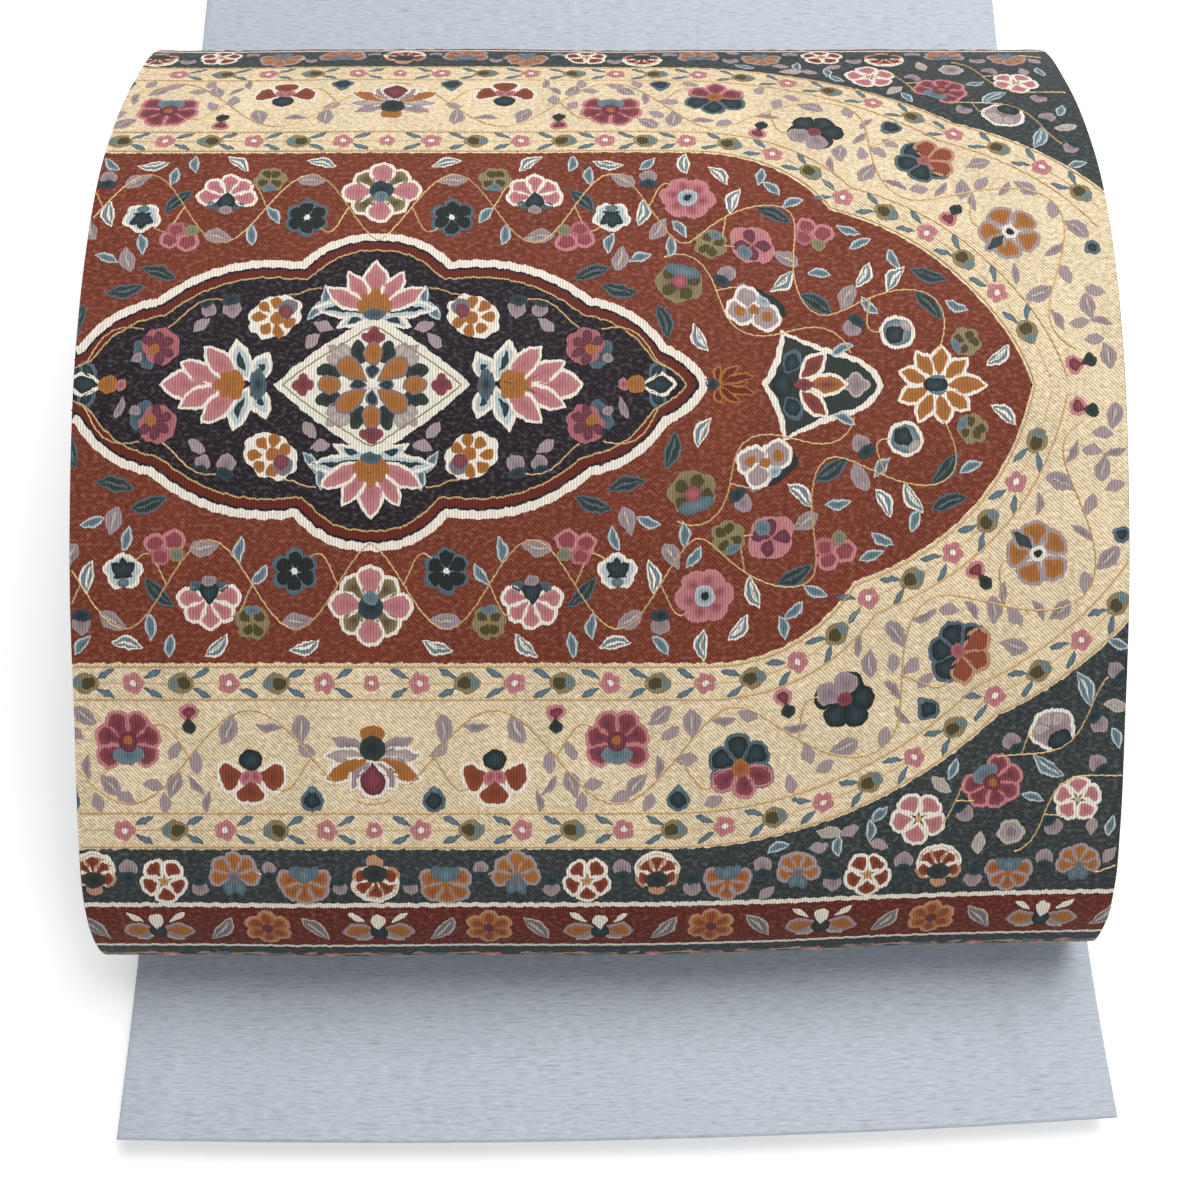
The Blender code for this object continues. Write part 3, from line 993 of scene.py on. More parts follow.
def draw_flower(weave, kind, spot, layer=2):
    """A flower of one kind: its rows drawn from back to front, each petal kept in its share of the ring."""
    for row in FLOWERS[kind]:
        if row[0] == "ring":
            _, first, last, count, start, reach, width, blunt, rim, fill, heart = row
            gap = abs(last - first) / max(count - 1, 1)
            closed = abs(last - first) + gap > 355
            for number, angle in enumerate(np.linspace(first, last, count)):
                chance = scatter(np.array(abs(spot.at[0]) * 7.3 + number * 3.1))
                petal = blade(start, reach * (0.95 + 0.1 * chance), width, blunt)
                if 0 < gap < 80:
                    room = np.maximum(petal[:, 0], 0) * math.tan(math.radians(gap / 2))
                    room = np.maximum(room + (RIM / 2 if rim else 0.1), 0.5)
                    low = -room if closed or number > 0 else -2 * room - 1
                    high = room if closed or number < count - 1 else 2 * room + 1
                    petal[:, 1] = np.clip(petal[:, 1], low, high)
                lean = angle + (6.0 * (chance - 0.5) if count > 2 else 0.0)
                rimmed(weave, spot.on(0, 0, lean), petal, rim, fill, heart, layer)
        elif row[0] == "disc":
            _, a, b, wide, tall, fill, heart = row
            rimmed(weave, spot.on(a, b), round_shape(wide, tall), None, fill, heart, layer)
        else:
            _, a, b, wide, tall, lobes, depth, first, rim, fill = row[:10]
            heart = row[10] if len(row) > 10 else None
            outline = round_shape(wide, tall, lobes, depth, first)
            rimmed(weave, spot.on(a, b), outline, rim, fill, heart, layer)
        layer += 1


# A leaf: length, width, blunt, bend, rim, fill, heart
LEAVES = {
    "dark leaf": (11.5, 4.6, 1.0, 0.6, "steel", "leaf green", "ink"),
    "small dark leaf": (8.5, 3.6, 1.0, -0.5, "steel", "leaf green", "ink"),
    "blue leaf": (11.0, 4.2, 1.0, 0.8, "pale blue", "blue", "steel"),
    "small blue leaf": (7.5, 3.2, 1.0, 0.5, "pale blue", "blue", "steel"),
    "white leaf": (9.5, 4.0, 1.0, 1.0, "white", "blue", "blue"),
    "mauve leaf": (8.6, 4.8, 0.8, 0.4, None, "mauve", "dusk"),
    "mauve drop": (6.4, 3.6, 0.9, 0.2, None, "mauve", "mauve"),
    "mauve sliver": (7.4, 2.4, 0.9, 0.6, None, "mauve", "dusk"),
    "grey sprig": (6.4, 1.9, 0.8, 0.0, None, "steel", "blue"),
    "guard leaf": (13.0, 5.2, 0.9, 0.8, "stone", "dusk", "steel"),
    "stone leaf": (8.2, 4.0, 0.9, 0.4, None, "stone", "mauve"),
    "rust petal": (12.0, 5.0, 0.9, 0.5, "rust", "guard red with painted shade", "rust"),
    "flame petal": (15.5, 6.0, 0.95, 0.4, "white", "orange", "amber"),
}


def draw_leaf(weave, kind, spot, layer=1):
    """A leaf that starts at its spot and points along the spot's turn."""
    length, width, blunt, bend, rim, fill, heart = LEAVES[kind]
    inset = 0.7 if rim else 0
    outline = blade(0, length, width, blunt, bend)
    rimmed(weave, spot, outline, rim, fill, heart, layer, inset)
    if length > 8:
        midrib = blade(0.12 * length, 0.84 * length, 0.75, 0.6, 0.8 * bend)
        weave.patch(spot.lay(midrib), rim or "stone", layer=layer + 2, skirt=False)


def sepals(weave, spot, rows, layer):
    """Pale split sepals on both sides: each is white, then pale blue, with a dark slit."""
    for a, angle, reach, width in rows:
        for side in (1, -1):
            sepal = spot.on(a, 0, side * angle)
            bend = -0.8 * side
            outer = sepal.lay(blade(0.6, reach, width, 1.0, bend))
            inner = sepal.lay(blade(2.0, reach - 1.8, width - 2.0, 1.0, bend))
            slit = sepal.lay(blade(3.8, reach - 3.6, 1.9, 1.0, bend))
            weave.patch(outer, "white", layer=layer)
            weave.patch(inner, "pale blue", layer=layer + 1, skirt=False)
            weave.patch(slit, "ink", "teal", layer=layer + 2, skirt=False)


def palmette(weave, spot, layer=2):
    """A lily palmette from the side: pointed pink petals on an orange heart, over split pale sepals."""
    sepals(weave, spot, ((0, 84, 19.0, 6.2), (-0.6, 108, 12.0, 4.4)), layer)
    rows = ((0, 18.0, 8.6), (-31, 16.6, 6.4), (31, 16.6, 6.4), (-60, 17.4, 6.6), (60, 17.4, 6.6))
    for angle, reach, width in rows:
        petal = blade(2.0, reach, width, 0.9)
        rimmed(weave, spot.on(0, 0, angle), petal, "white", "pink", "deep pink", layer)
        layer += 1
    for angle, reach in ((-52, 6.6), (-26, 7.6), (0, 8.6), (26, 7.6), (52, 6.6)):
        weave.patch(spot.on(0, 0, angle).lay(blade(0, reach, 4.0, 0.7)), "orange", "amber", layer=layer + 2)
    weave.patch(spot.on(0.0, 0).lay(round_shape(3.4, 6.8)), "steel", "teal", layer=layer + 3)


def side_palmette(weave, spot, layer=2):
    """The longer palmette at the medallion's ends: petals in pairs up a stem, with curled pale sepals."""
    sepals(weave, spot, ((-1.0, 72, 13.6, 6.6), (-3.4, 104, 9.6, 6.0)), layer)
    rows = (
        (9.0, 0, 14.2, 9.0),
        (5.6, -27, 14.2, 6.2),
        (5.6, 27, 14.2, 6.2),
        (1.4, -46, 15.0, 7.0),
        (1.4, 46, 15.0, 7.0),
    )
    for a, angle, reach, width in rows:
        petal = blade(0.5, reach, width, 0.9)
        rimmed(weave, spot.on(a, 0, angle), petal, "white", "pink", "deep pink", layer)
        layer += 1
    for angle, reach in ((-50, 5.0), (-25, 6.6), (0, 8.0), (25, 6.6), (50, 5.0)):
        heart = spot.on(1.2, 0, angle).lay(blade(-1.0, reach, 3.8, 0.7))
        weave.patch(heart, "orange", "amber", layer=layer + 2)
    weave.patch(spot.on(-3.2, 0).lay(round_shape(4.6, 8.6, 4, 0.12)), "steel", "ink", layer=layer + 3)


def end_bud(weave, spot):
    """The bud at the medallion's point: an orange ball, a dark cup and three dark petals edged white."""
    draw_leaf(weave, "mauve sliver", spot.on(-9, 3.4, 70))
    for side in (1, -1):
        wing = spot.on(0.5, 2.6 * side, 52 * side)
        rimmed(weave, wing, blade(-2, 5.6, 5.0, 0.8), "steel", "ink", "teal", 2)
    rimmed(weave, spot.on(0, 0), blade(-3.0, 7.6, 7.4, 0.8), "white", "ink", "teal", 3)
    weave.patch(spot.on(-4.4, 0).lay(round_shape(5.8, 5.6)), "orange", "amber", layer=5)
    weave.patch(spot.on(-8.2, 0).lay(round_shape(3.2, 4.0, 5, 0.2)), "pink", "rose", layer=5)


def cartouche(weave, spot):
    """The pale diamond at the heart of the medallion, with a cross of orange petals and dark leaves."""
    shoulder = (-0.2 * CARTOUCHE_REACH, 0.86 * CARTOUCHE_HALF)
    quarter = joined((((-CARTOUCHE_REACH, 0), shoulder, 0.8), (shoulder, (0, CARTOUCHE_HALF), 0.4)), 2.0)
    whole = np.vstack([
        quarter,
        (quarter * (-1, 1))[-2::-1],
        (quarter * (-1, -1))[1:],
        (quarter * (1, -1))[-2:0:-1],
    ])
    weave.patch(spot.lay(whole), "ivory", layer=2)
    # turn of the arm, its orange oval's place, its rose tip's place
    for turn, oval, tip in ((0, 12.6, 20.4), (180, 12.6, 20.4), (90, 9.6, 14.8), (270, 9.6, 14.8)):
        arm = spot.on(0, 0, turn)
        for side in (1, -1):
            leaf = arm.on(oval + 0.2, 4.2 * side, 10 * side).lay(round_shape(7.8, 5.0, 3, 0.12))
            weave.patch(leaf, "leaf green", "ink", layer=3)
        rimmed(weave, arm, blade(1.6, 6.6, 4.0, 0.8), "steel", "ink", "teal", 5, 0.6)
        rimmed(weave, arm.on(oval, 0), round_shape(7.2, 5.8), "dusk", "orange", "amber", 5, 0.5)
        weave.patch(arm.on(tip, 0).lay(round_shape(6.4, 7.2, 4, 0.42, 0)), "rose", "wine", layer=4)
    for turn, lean in ((37, 6), (143, -6), (217, 6), (323, -6)):
        for spread in (-16, 0, 16):
            finger = spot.on(0, 0, turn + lean + spread * 0.6)
            outline = finger.lay(blade(10.0, 18.4 - abs(spread) / 8, 3.4, 0.8))
            weave.patch(outline, "mauve", "stone", layer=3)
        rimmed(weave, spot.on(0, 0, turn), blade(1.8, 13.0, 6.6, 0.6), "dusk", "orange", "amber", 6, 0.7)
    weave.patch(spot.lay(round_shape(2.8, 2.8)), "white", layer=8)
    return spot.lay(np.vstack([whole, whole[:1]]))


def shield(weave, spot):
    """A dark shield pointed to the right, edged cream, with an orchid bud and a mauve diamond on it."""
    upper = joined((((-18, 0), (-12, 17), -1.0), ((-12, 17), (9, 9), -0.6), ((9, 9), (18, 0), 1.4)), 2.0)
    whole = np.vstack([upper, (upper * (1, -1))[-2:0:-1]])
    rimmed(weave, spot, whole, "white", "shield green", None, 2, 1.9)
    for side in (1, -1):
        wing = spot.on(-11.0, 3.2 * side, 62 * side)
        weave.patch(wing.lay(blade(0, 8.6, 6.0, 0.8)), "steel", layer=4)
        weave.patch(wing.lay(blade(0.8, 7.0, 4.4, 0.8)), "ink", "teal", layer=5, skirt=False)
        draw_leaf(weave, "small blue leaf", spot.on(2.6, 9.0 * side, 26 * side), 4)
        petal = spot.on(-7.6, 0.4 * side, 48 * side)
        rimmed(weave, petal, blade(1, 13.0, 6.6, 0.9), "white", "rust", "wine", 5)
    rimmed(weave, spot.on(-7.6, 0), blade(2, 15.2, 7.4, 0.9), "white", "orange", "wine", 7)
    weave.patch(spot.on(-6.8, 0).lay(blade(-2.2, 4.6, 3.6)), "rose", "wine", layer=9)
    weave.patch(spot.on(-12.0, 0).lay(round_shape(5.4, 7.6)), "ink", "teal", layer=6)
    rimmed(weave, spot.on(9.8, 0), round_shape(8.2, 7.6, 4, 0.3), "stone", "mauve", "dusk", 4, 0.6)


# ---------------------------------------------------------------- where the motifs go


def place(side, u, w, turn=0.0, size=1.0, axis=None):
    """The spot for u across and w outwards from the drum's middle line, on the crown's side (1) or the
    lip's (-1). The upper half slips a little to the left. axis, if given, is where it is turned over."""
    flip = 1
    if axis is not None:
        u, turn, flip = 2 * axis - u, 180 - turn, -1
    if side > 0:
        return Spot(u - slip(u, w, side), w, turn, size, flip)
    return Spot(u, -w, -turn, size, -flip)


def both_ways(rows, axis):
    """Each row of a table on both halves of the drum and, if there is an axis, on both sides of it."""
    for row in rows:
        for side in (1, -1):
            yield side, None, row
            if axis is not None:
                yield side, axis, row


def flower_radius(kind):
    """How far a flower reaches from its middle, from its own rows."""
    rings = [row[5] for row in FLOWERS[kind] if row[0] == "ring"]
    rounds = [math.hypot(row[1], row[2]) + row[3] / 2 for row in FLOWERS[kind] if row[0] != "ring"]
    return max(rings + rounds)


def run_beside(edge, distance, start_u, end_u, smooth=31):
    """A line beside a ground's edge, its corners rounded by a running mean, between two places across."""
    line = evenly(beside(edge, distance), 1.0)
    window = np.ones(smooth) / smooth
    half = smooth // 2
    padded = np.pad(line, ((half, half), (0, 0)), mode="edge")
    line = np.column_stack([np.convolve(column, window, "valid") for column in padded.T])
    return line[(line[:, 0] >= start_u) & (line[:, 0] <= end_u) & (line[:, 1] > 1)]


# Sizes that a flower is tried at where the cloth is tight, and shares of a circle that must be free
FLOWER_TRIES = (1.0, 0.9, 0.8, 0.72)
FLOWER_CLEAR = 0.88
LEAF_CLEAR = 0.72
STEM_CLEAR = 0.8
# Leaves on a stem: how far they lean from it in degrees, and their size
STEM_LEAF_LEAN = 42
STEM_LEAF_SIZE = 1.1
BUD_SIZE = 0.85
# Places across the stem's swing: a flower in its hollow, its stalk's bend, and a bud at the crossing
FLOWER_SWING = 0.3
STALK_SWING = 0.7
BUD_SWING = 0.85


class Planting:
    """What grows on one ground, right of the axis and outwards from the middle line. Every motif takes
    a circle of cloth, and a later one goes in only where its own circle is free and on the ground."""

    def __init__(self, low, high, taken=()):
        self.low = low
        self.high = high
        self.taken = list(taken)
        self.flowers = []
        self.leaves = []
        self.stems = []

    def free(self, u, w, radius):
        if not self.low(u) + radius < w < self.high(u) - radius or u + radius > WIDTH / 2:
            return False
        return all(math.hypot(u - a, w - b) > radius + other for a, b, other in self.taken)

    def flower(self, kind, u, w, turn, size=1.0):
        """A flower, drawn smaller by steps where the cloth is tight and left out where it has no room."""
        for share in FLOWER_TRIES:
            radius = flower_radius(kind) * size * share
            if self.free(u, w, radius * FLOWER_CLEAR):
                self.taken.append((u, w, radius))
                self.flowers.append((kind, u, w, turn, size * share))
                return True
        return False

    def leaf(self, kind, u, w, turn, size=1.0):
        half = LEAVES[kind][0] * size / 2
        lean = math.radians(turn)
        middle = (u + half * math.cos(lean), w + half * math.sin(lean))
        if self.free(*middle, half * LEAF_CLEAR):
            self.taken.append((*middle, half * LEAF_CLEAR))
            self.leaves.append((kind, u, w, turn, size))

    def open_runs(self, stem):
        """The stretches of a stem that show: it passes behind whatever already has its circle."""
        shown = np.ones(len(stem), bool)
        for u, w, radius in self.taken:
            shown &= np.hypot(stem[:, 0] - u, stem[:, 1] - w) > radius * STEM_CLEAR
        cuts = np.flatnonzero(np.diff(shown.astype(int))) + 1
        runs = zip(np.split(stem, cuts), np.split(shown, cuts))
        return [run for run, open_ in runs if open_[0] and len(run) > 4]

    def scroll(self, base, swing, gap, flowers, buds, leaves, first=0.0, leaf_gap=8.0, size=1.0):
        """A running stem: the base line plus swing times the cosine of pi s / gap along its own left.
        A flower sits in every hollow on a curled stalk, a bud beside every crossing, and leaves stand
        in turn on the stem's two sides."""
        at = distances(base)
        normal = left_normals(base)
        stem = base + normal * (swing * np.cos(np.pi * (at - first) / gap))[:, None]
        lines = [stem]

        def on_base(s, away):
            u, w = (np.interp(s, at, base[:, axis] + away * normal[:, axis]) for axis in (0, 1))
            du, dw = (np.interp(s, at, normal[:, axis]) for axis in (0, 1))
            across = math.degrees(math.atan2(dw, du))
            return u, w, across

        for number, s in enumerate(np.arange(first, at[-1], gap)):
            side = 1 if number % 2 == 0 else -1
            kind = flowers[number % len(flowers)]
            u, w, across = on_base(s, -FLOWER_SWING * swing * side)
            if self.flower(kind, u, w, across + (180 if side > 0 else 0), size) and s > gap / 2:
                start = on_base(s - gap / 2, 0.0)[:2]
                bend = on_base(s - gap * 0.28, -STALK_SWING * swing * side)[:2]
                lines.append(smooth_curve((start, bend, (u, w)), 12))
            u, w, across = on_base(s + gap / 2, BUD_SWING * swing * side)
            self.flower(buds[number % len(buds)], u, w, across + (0 if side > 0 else 180), BUD_SIZE)
        for line in lines:
            self.stems += self.open_runs(line)
        stem_at = distances(stem)
        tangent = np.gradient(stem, stem_at, axis=0)
        for number, s in enumerate(np.arange(leaf_gap / 2, stem_at[-1], leaf_gap)):
            side = 1 if number % 2 == 0 else -1
            u, w, du, dw = (np.interp(s, stem_at, values) for values in (*stem.T, *tangent.T))
            kind = leaves[number % len(leaves)]
            turn = math.degrees(math.atan2(dw, du)) + side * STEM_LEAF_LEAN
            self.leaf(kind, u, w, turn, STEM_LEAF_SIZE)

    def scatter_leaves(self, kinds, gap, size=1.0):
        """Loose leaves in turn in the cloth that is still free, in rows set half a gap aside."""
        for row, w in enumerate(np.arange(4.0, LAST_LINE, gap * 0.8)):
            for number, u in enumerate(np.arange(AXIS_U + gap / 2 * (row % 2), WIDTH / 2, gap)):
                chance = float(scatter(np.array(u * 1.7 + w * 2.3)))
                turn = 360 * chance
                kind = kinds[(row + number) % len(kinds)]
                half = LEAVES[kind][0] * size / 2
                start = (u - half * math.cos(math.radians(turn)), w - half * math.sin(math.radians(turn)))
                self.leaf(kind, *start, turn, size)


def edge_of(line, inset=0.0):
    """A function that gives, at each u, how far from the middle a ground's edge lies."""
    across = np.arange(AXIS_U, WIDTH / 2 + 1)
    reach = reach_at(across, line)
    return lambda u: float(np.interp(u, across, reach)) + inset


def planted_grounds():
    """The planting of each ground in turn. The cream ground's free part lies between its two guards."""
    medallion_edge = edge_of(MEDALLION_QUARTER + (AXIS_U, 0))
    red_edge = edge_of(RED_LINE)
    medallion = Planting(lambda u: 0.0, lambda u: medallion_edge(u) - 7.0,
                         ((AXIS_U, 0, 20), (AXIS_U + 20, 0, 8), (AXIS_U, 31, 12), (AXIS_U + 36, 0, 11),
                          (AXIS_U + 46, 0, 12), (AXIS_U + 80, 0, 8)))
    for share, height, kind in ((0.3, 0.55, "orange blossom"), (0.65, 0.43, "rose blossom")):
        u = AXIS_U + MEDALLION_REACH * share
        medallion.flower(kind, u, medallion_edge(u) * height, 150)
    rim = np.column_stack([np.arange(16, 88.0), 0.7 * medallion_reach(AXIS_U + np.arange(16, 88.0))])
    medallion.scroll(rim + (AXIS_U, 0), 2.0, 14, ("mauve bud",), ("mauve bud",),
                     ("mauve leaf", "dark leaf", "small dark leaf"), 7)
    medallion.scatter_leaves(("small dark leaf", "small blue leaf", "mauve drop"), 6.0)

    red = Planting(lambda u: medallion_edge(u) + 3.0, lambda u: red_edge(u) - 1.5,
                   ((AXIS_U, ROSETTE_W, 12), (MEDALLION_TIP + 9, 0, 9), (SHIELD_U - 9, 0, 17),
                    (SHIELD_U + 1, 0, 15), (SHIELD_U + 10, 0, 10), (STAR_U, 0, 12)))
    red.scroll(run_beside(RED_LINE, -23.0, AXIS_U, 112), 13.0, 25.0,
               ("teal rosette", "carnation", "tulip", "mauve round", "pansy", "pink fan", "white bud"),
               ("olive flower", "rose cluster", "mauve bud"),
               ("white leaf", "dark leaf", "small blue leaf", "mauve leaf", "blue leaf"), 22.0)
    red.scroll(run_beside(RED_LINE, -46.0, AXIS_U + 88, 100), 7.0, 23.0,
               ("olive crown", "shaded pansy", "flame flower"), ("mauve bud",),
               ("dark leaf", "mauve leaf", "blue leaf"), 6.0)
    red.scatter_leaves(("dark leaf", "white leaf", "mauve leaf", "small blue leaf"), 6.5, 1.05)

    cream = Planting(edge_of(beside(RED_LINE, 11.0)), edge_of(beside(CREAM_LINE, -11.5)),
                     ((AXIS_U, CREAM_W, 17),))
    cream.scroll(run_beside(RED_LINE, 28.0, AXIS_U, WIDTH / 2), 14.0, 36.0,
                 ("great flower", "split flower", "peony", "teal rose flower", "dusky flower",
                  "teal rust flower", "orange flower"),
                 ("teal bud", "rose bud"), ("mauve leaf", "mauve sliver", "mauve drop"), 0.0, size=1.1)
    cream.scatter_leaves(("mauve sliver", "mauve leaf", "mauve drop"), 6.5)

    green = Planting(edge_of(CREAM_LINE, 0.5), lambda u: FIRST_LINE - 0.6, ((AXIS_U, GREEN_W, 8),))
    level = bowed((AXIS_U, GREEN_W), (WIDTH / 2, GREEN_W), 0)
    green.scroll(level, 3.0, 21.0,
                 ("fan flower", "mixed flower", "orange mauve flower", "red five petal"),
                 ("mauve bud",), ("white leaf", "mauve leaf", "small blue leaf"), 0.0)
    green.scroll(run_beside(CREAM_LINE, 13.0, 88, WIDTH / 2), 5.0, 24.0,
                 ("pink five petal", "peony", "mauve pansy", "steel flower"),
                 ("mauve bud",), ("blue leaf", "stone leaf", "rust petal"), 8.0)
    green.scroll(run_beside(CREAM_LINE, 33.0, 118, WIDTH / 2), 5.0, 22.0,
                 ("round spray", "pink five petal", "dark flower"),
                 ("mauve bud",), ("flame petal", "blue leaf", "stone leaf"), 6.0)
    green.scatter_leaves(("small blue leaf", "stone leaf", "mauve drop"), 6.0)
    return medallion, red, cream, green


def arch_spots(row, first, gap):
    """Places at even gaps along a line: u, w and the line's own turn there."""
    at = distances(row)
    wanted = np.arange(first, at[-1], gap)
    u = np.interp(wanted, at, row[:, 0])
    w = np.interp(wanted, at, row[:, 1])
    du = np.interp(wanted + 0.5, at, row[:, 0]) - np.interp(wanted - 0.5, at, row[:, 0])
    dw = np.interp(wanted + 0.5, at, row[:, 1]) - np.interp(wanted - 0.5, at, row[:, 1])
    return zip(u, w, np.degrees(np.arctan2(dw, du)))


def weave_guard_florets(flowers, leaves, gold):
    """Small pink and olive flowers in turn between two gold lines, each with two bars before it."""
    for line, away, first, gap in ((RED_LINE, 6.0, 14.0, 14.0), (CREAM_LINE, -6.0, 14.0, 15.0)):
        row = beside(line, away)
        start = np.interp(AXIS_U, row[:, 0], distances(row)) + first
        for side in (1, -1):
            draw_flower(flowers, "pink floret", place(side, AXIS_U, row[0, 1], 90, 0.8), layer=2)
            gold.thread(trimmed(halved(row, side)), width=0.3, layer=1)
        for number, (u, w, turn) in enumerate(arch_spots(row, start, gap)):
            kind = ("pink floret", "olive floret")[number % 2]
            for side, axis, _ in both_ways((None,), AXIS_U):
                if w < 5 or abs(u if axis is None else 2 * axis - u) > WIDTH / 2 - 3:
                    continue
                spot = place(side, u, w, turn + 180, 1, axis)
                draw_flower(flowers, kind, spot, layer=2)
                draw_leaf(leaves, "grey sprig", spot.on(3.0, 1.3, 28))
                draw_leaf(leaves, "grey sprig", spot.on(3.0, -1.3, -28))


def weave_red_guard(flowers, leaves):
    """Bows and rosettes in turn along the red guard, with a leaning leaf on each side of a rosette."""
    repeat = 67.0
    middle = (FIRST_LINE + SECOND_LINE) / 2
    for number in range(-3, 5):
        bow_u = AXIS_U + repeat * number
        rosette_u = bow_u + repeat / 2
        for side in (1, -1):
            for u, kind, size in ((bow_u, "bow", 0.98), (rosette_u, "guard rosette", 1.3)):
                if abs(u) < WIDTH / 2 + 4:
                    draw_flower(flowers, kind, place(side, u, middle, 90, size))
            for lean, u in ((-52, rosette_u - 18.0), (232, rosette_u + 18.0)):
                if abs(u) < WIDTH / 2 - 4:
                    draw_leaf(leaves, "guard leaf", place(side, u, middle + 5.4, lean, 0.95))


def weave_last_band(flowers, leaves, gold):
    """The narrow dark band beyond the red guard: small flowers on one running stem."""
    middle = (SECOND_LINE + LAST_LINE) / 2
    kinds = (("mixed flower", 0.62), ("pink floret", 1.0), ("orange mauve flower", 0.62))
    across = np.arange(-WIDTH / 2 + 1, WIDTH / 2, 1.5)
    for side in (1, -1):
        stem = np.column_stack([across, side * (middle + 2.4 * np.sin(across / 33.3 * 2 * np.pi))])
        gold.thread(stem, width=0.5, layer=1)
        for number, u in enumerate(np.arange(-150, 155, 16.65)):
            kind, size = kinds[number % len(kinds)]
            draw_flower(flowers, kind, place(side, u, middle, 90, size))
            draw_leaf(leaves, "small blue leaf", place(side, u + 5.4, middle + 1.2, 24, 0.75))
            draw_leaf(leaves, "mauve drop", place(side, u + 8.2, middle - 1.4, -24, 0.75))


def weave_rust_sprig(flowers, spot):
    """A rust sprig drawn in outline beyond the medallion's point, from a small teal knob."""
    flowers.patch(spot.lay(round_shape(3.8, 3.6)), "teal", "ink", layer=3)
    for angle, reach in ((80, 6.0), (40, 8.8), (12, 11.6), (-12, 11.6), (-40, 8.8), (-80, 6.0)):
        petal = spot.on(1.5, 0, angle)
        outline = blade(0.5, reach, 3.2, 0.9, 0.6 * np.sign(angle))
        rimmed(flowers, petal, outline, "orange", "guard red with painted shade", None, 2, 0.8)


def on_cloth(u, axis, overhang):
    """Whether a motif turned over about the axis still lies within the left selvedge."""
    return axis is None or 2 * axis - u > -WIDTH / 2 - overhang


def lay_planting(planting, side, axis, flowers, leaves, gold):
    """One ground's planting on one half of the drum, as planned or turned over about the axis."""
    for kind, u, w, turn, size in planting.flowers:
        if on_cloth(u, axis, 4):
            draw_flower(flowers, kind, place(side, u, w, turn, size, axis), layer=2)
    for kind, u, w, turn, size in planting.leaves:
        if on_cloth(u, axis, 2):
            draw_leaf(leaves, kind, place(side, u, w, turn, size, axis))
    for stem in planting.stems:
        turned = stem if axis is None else stem * (-1, 1) + (2 * axis, 0)
        laid = trimmed(halved(turned, side))
        if len(laid) > 5:
            gold.thread(laid, width=0.55, layer=2, bead=0.3)


def weave_motifs(flowers, petals, leaves, gold):
    """Every motif, region by region."""
    for side in (1, -1):
        palmette(petals, place(side, AXIS_U, CARTOUCHE_HALF + 1.0, 90))
        draw_flower(petals, "six petal rosette", place(side, AXIS_U, ROSETTE_W, 90))
        draw_flower(flowers, "great flower", place(side, AXIS_U, CREAM_W, 90, 1.1))
        draw_flower(flowers, "fan flower", place(side, AXIS_U, GREEN_W, 90, 0.85))
    for axis in (None, AXIS_U):
        middle = place(-1, AXIS_U, 0, 0, 1, axis)
        side_palmette(petals, middle.on(CARTOUCHE_REACH + 8, 0, 0, 1.1))
        end_bud(petals, middle.on(MEDALLION_REACH - 16, 0))
    edge = cartouche(petals, Spot(AXIS_U, 0.0))
    gold.thread(shrunk(edge, 2.7), layer=3, width=0.45, yarn="olive")
    weave_rust_sprig(leaves, Spot(MEDALLION_TIP + 2, 0))
    shield(petals, Spot(SHIELD_U, 0))
    draw_flower(flowers, "star", Spot(STAR_U, 0))
    for planting in planted_grounds():
        for axis in (None, AXIS_U):
            for side in (1, -1):
                lay_planting(planting, side, axis, flowers, leaves, gold)
    weave_guard_florets(flowers, leaves, gold)
    weave_red_guard(petals, leaves)
    weave_last_band(petals, leaves, gold)


# ---------------------------------------------------------------- materials


def node(tree, kind, settings=None, links=None):
    """A shader node with its settings, and links from other sockets to its inputs."""
    made = tree.nodes.new(kind)
    for key, value in (settings or {}).items():
        if isinstance(key, str) and hasattr(made, key):
            setattr(made, key, value)
        else:
            made.inputs[key].default_value = value
    for key, socket in (links or {}).items():
        tree.links.new(socket, made.inputs[key])
    return made


def blank_material(name):
    material = bpy.data.materials.new(name)
    material.use_nodes = True
    tree = material.node_tree
    tree.nodes.clear()
    shader = node(tree, "ShaderNodeBsdfPrincipled")
    out = node(tree, "ShaderNodeOutputMaterial", links={"Surface": shader.outputs["BSDF"]})
    out.target = "ALL"
    return material, tree, shader


def stretched(tree, source, scale, turn=0.0):
    """A cloth coordinate turned and scaled."""
    settings = {"Scale": scale, "Rotation": (0, 0, turn)}
    return node(tree, "ShaderNodeMapping", settings, {"Vector": source}).outputs["Vector"]


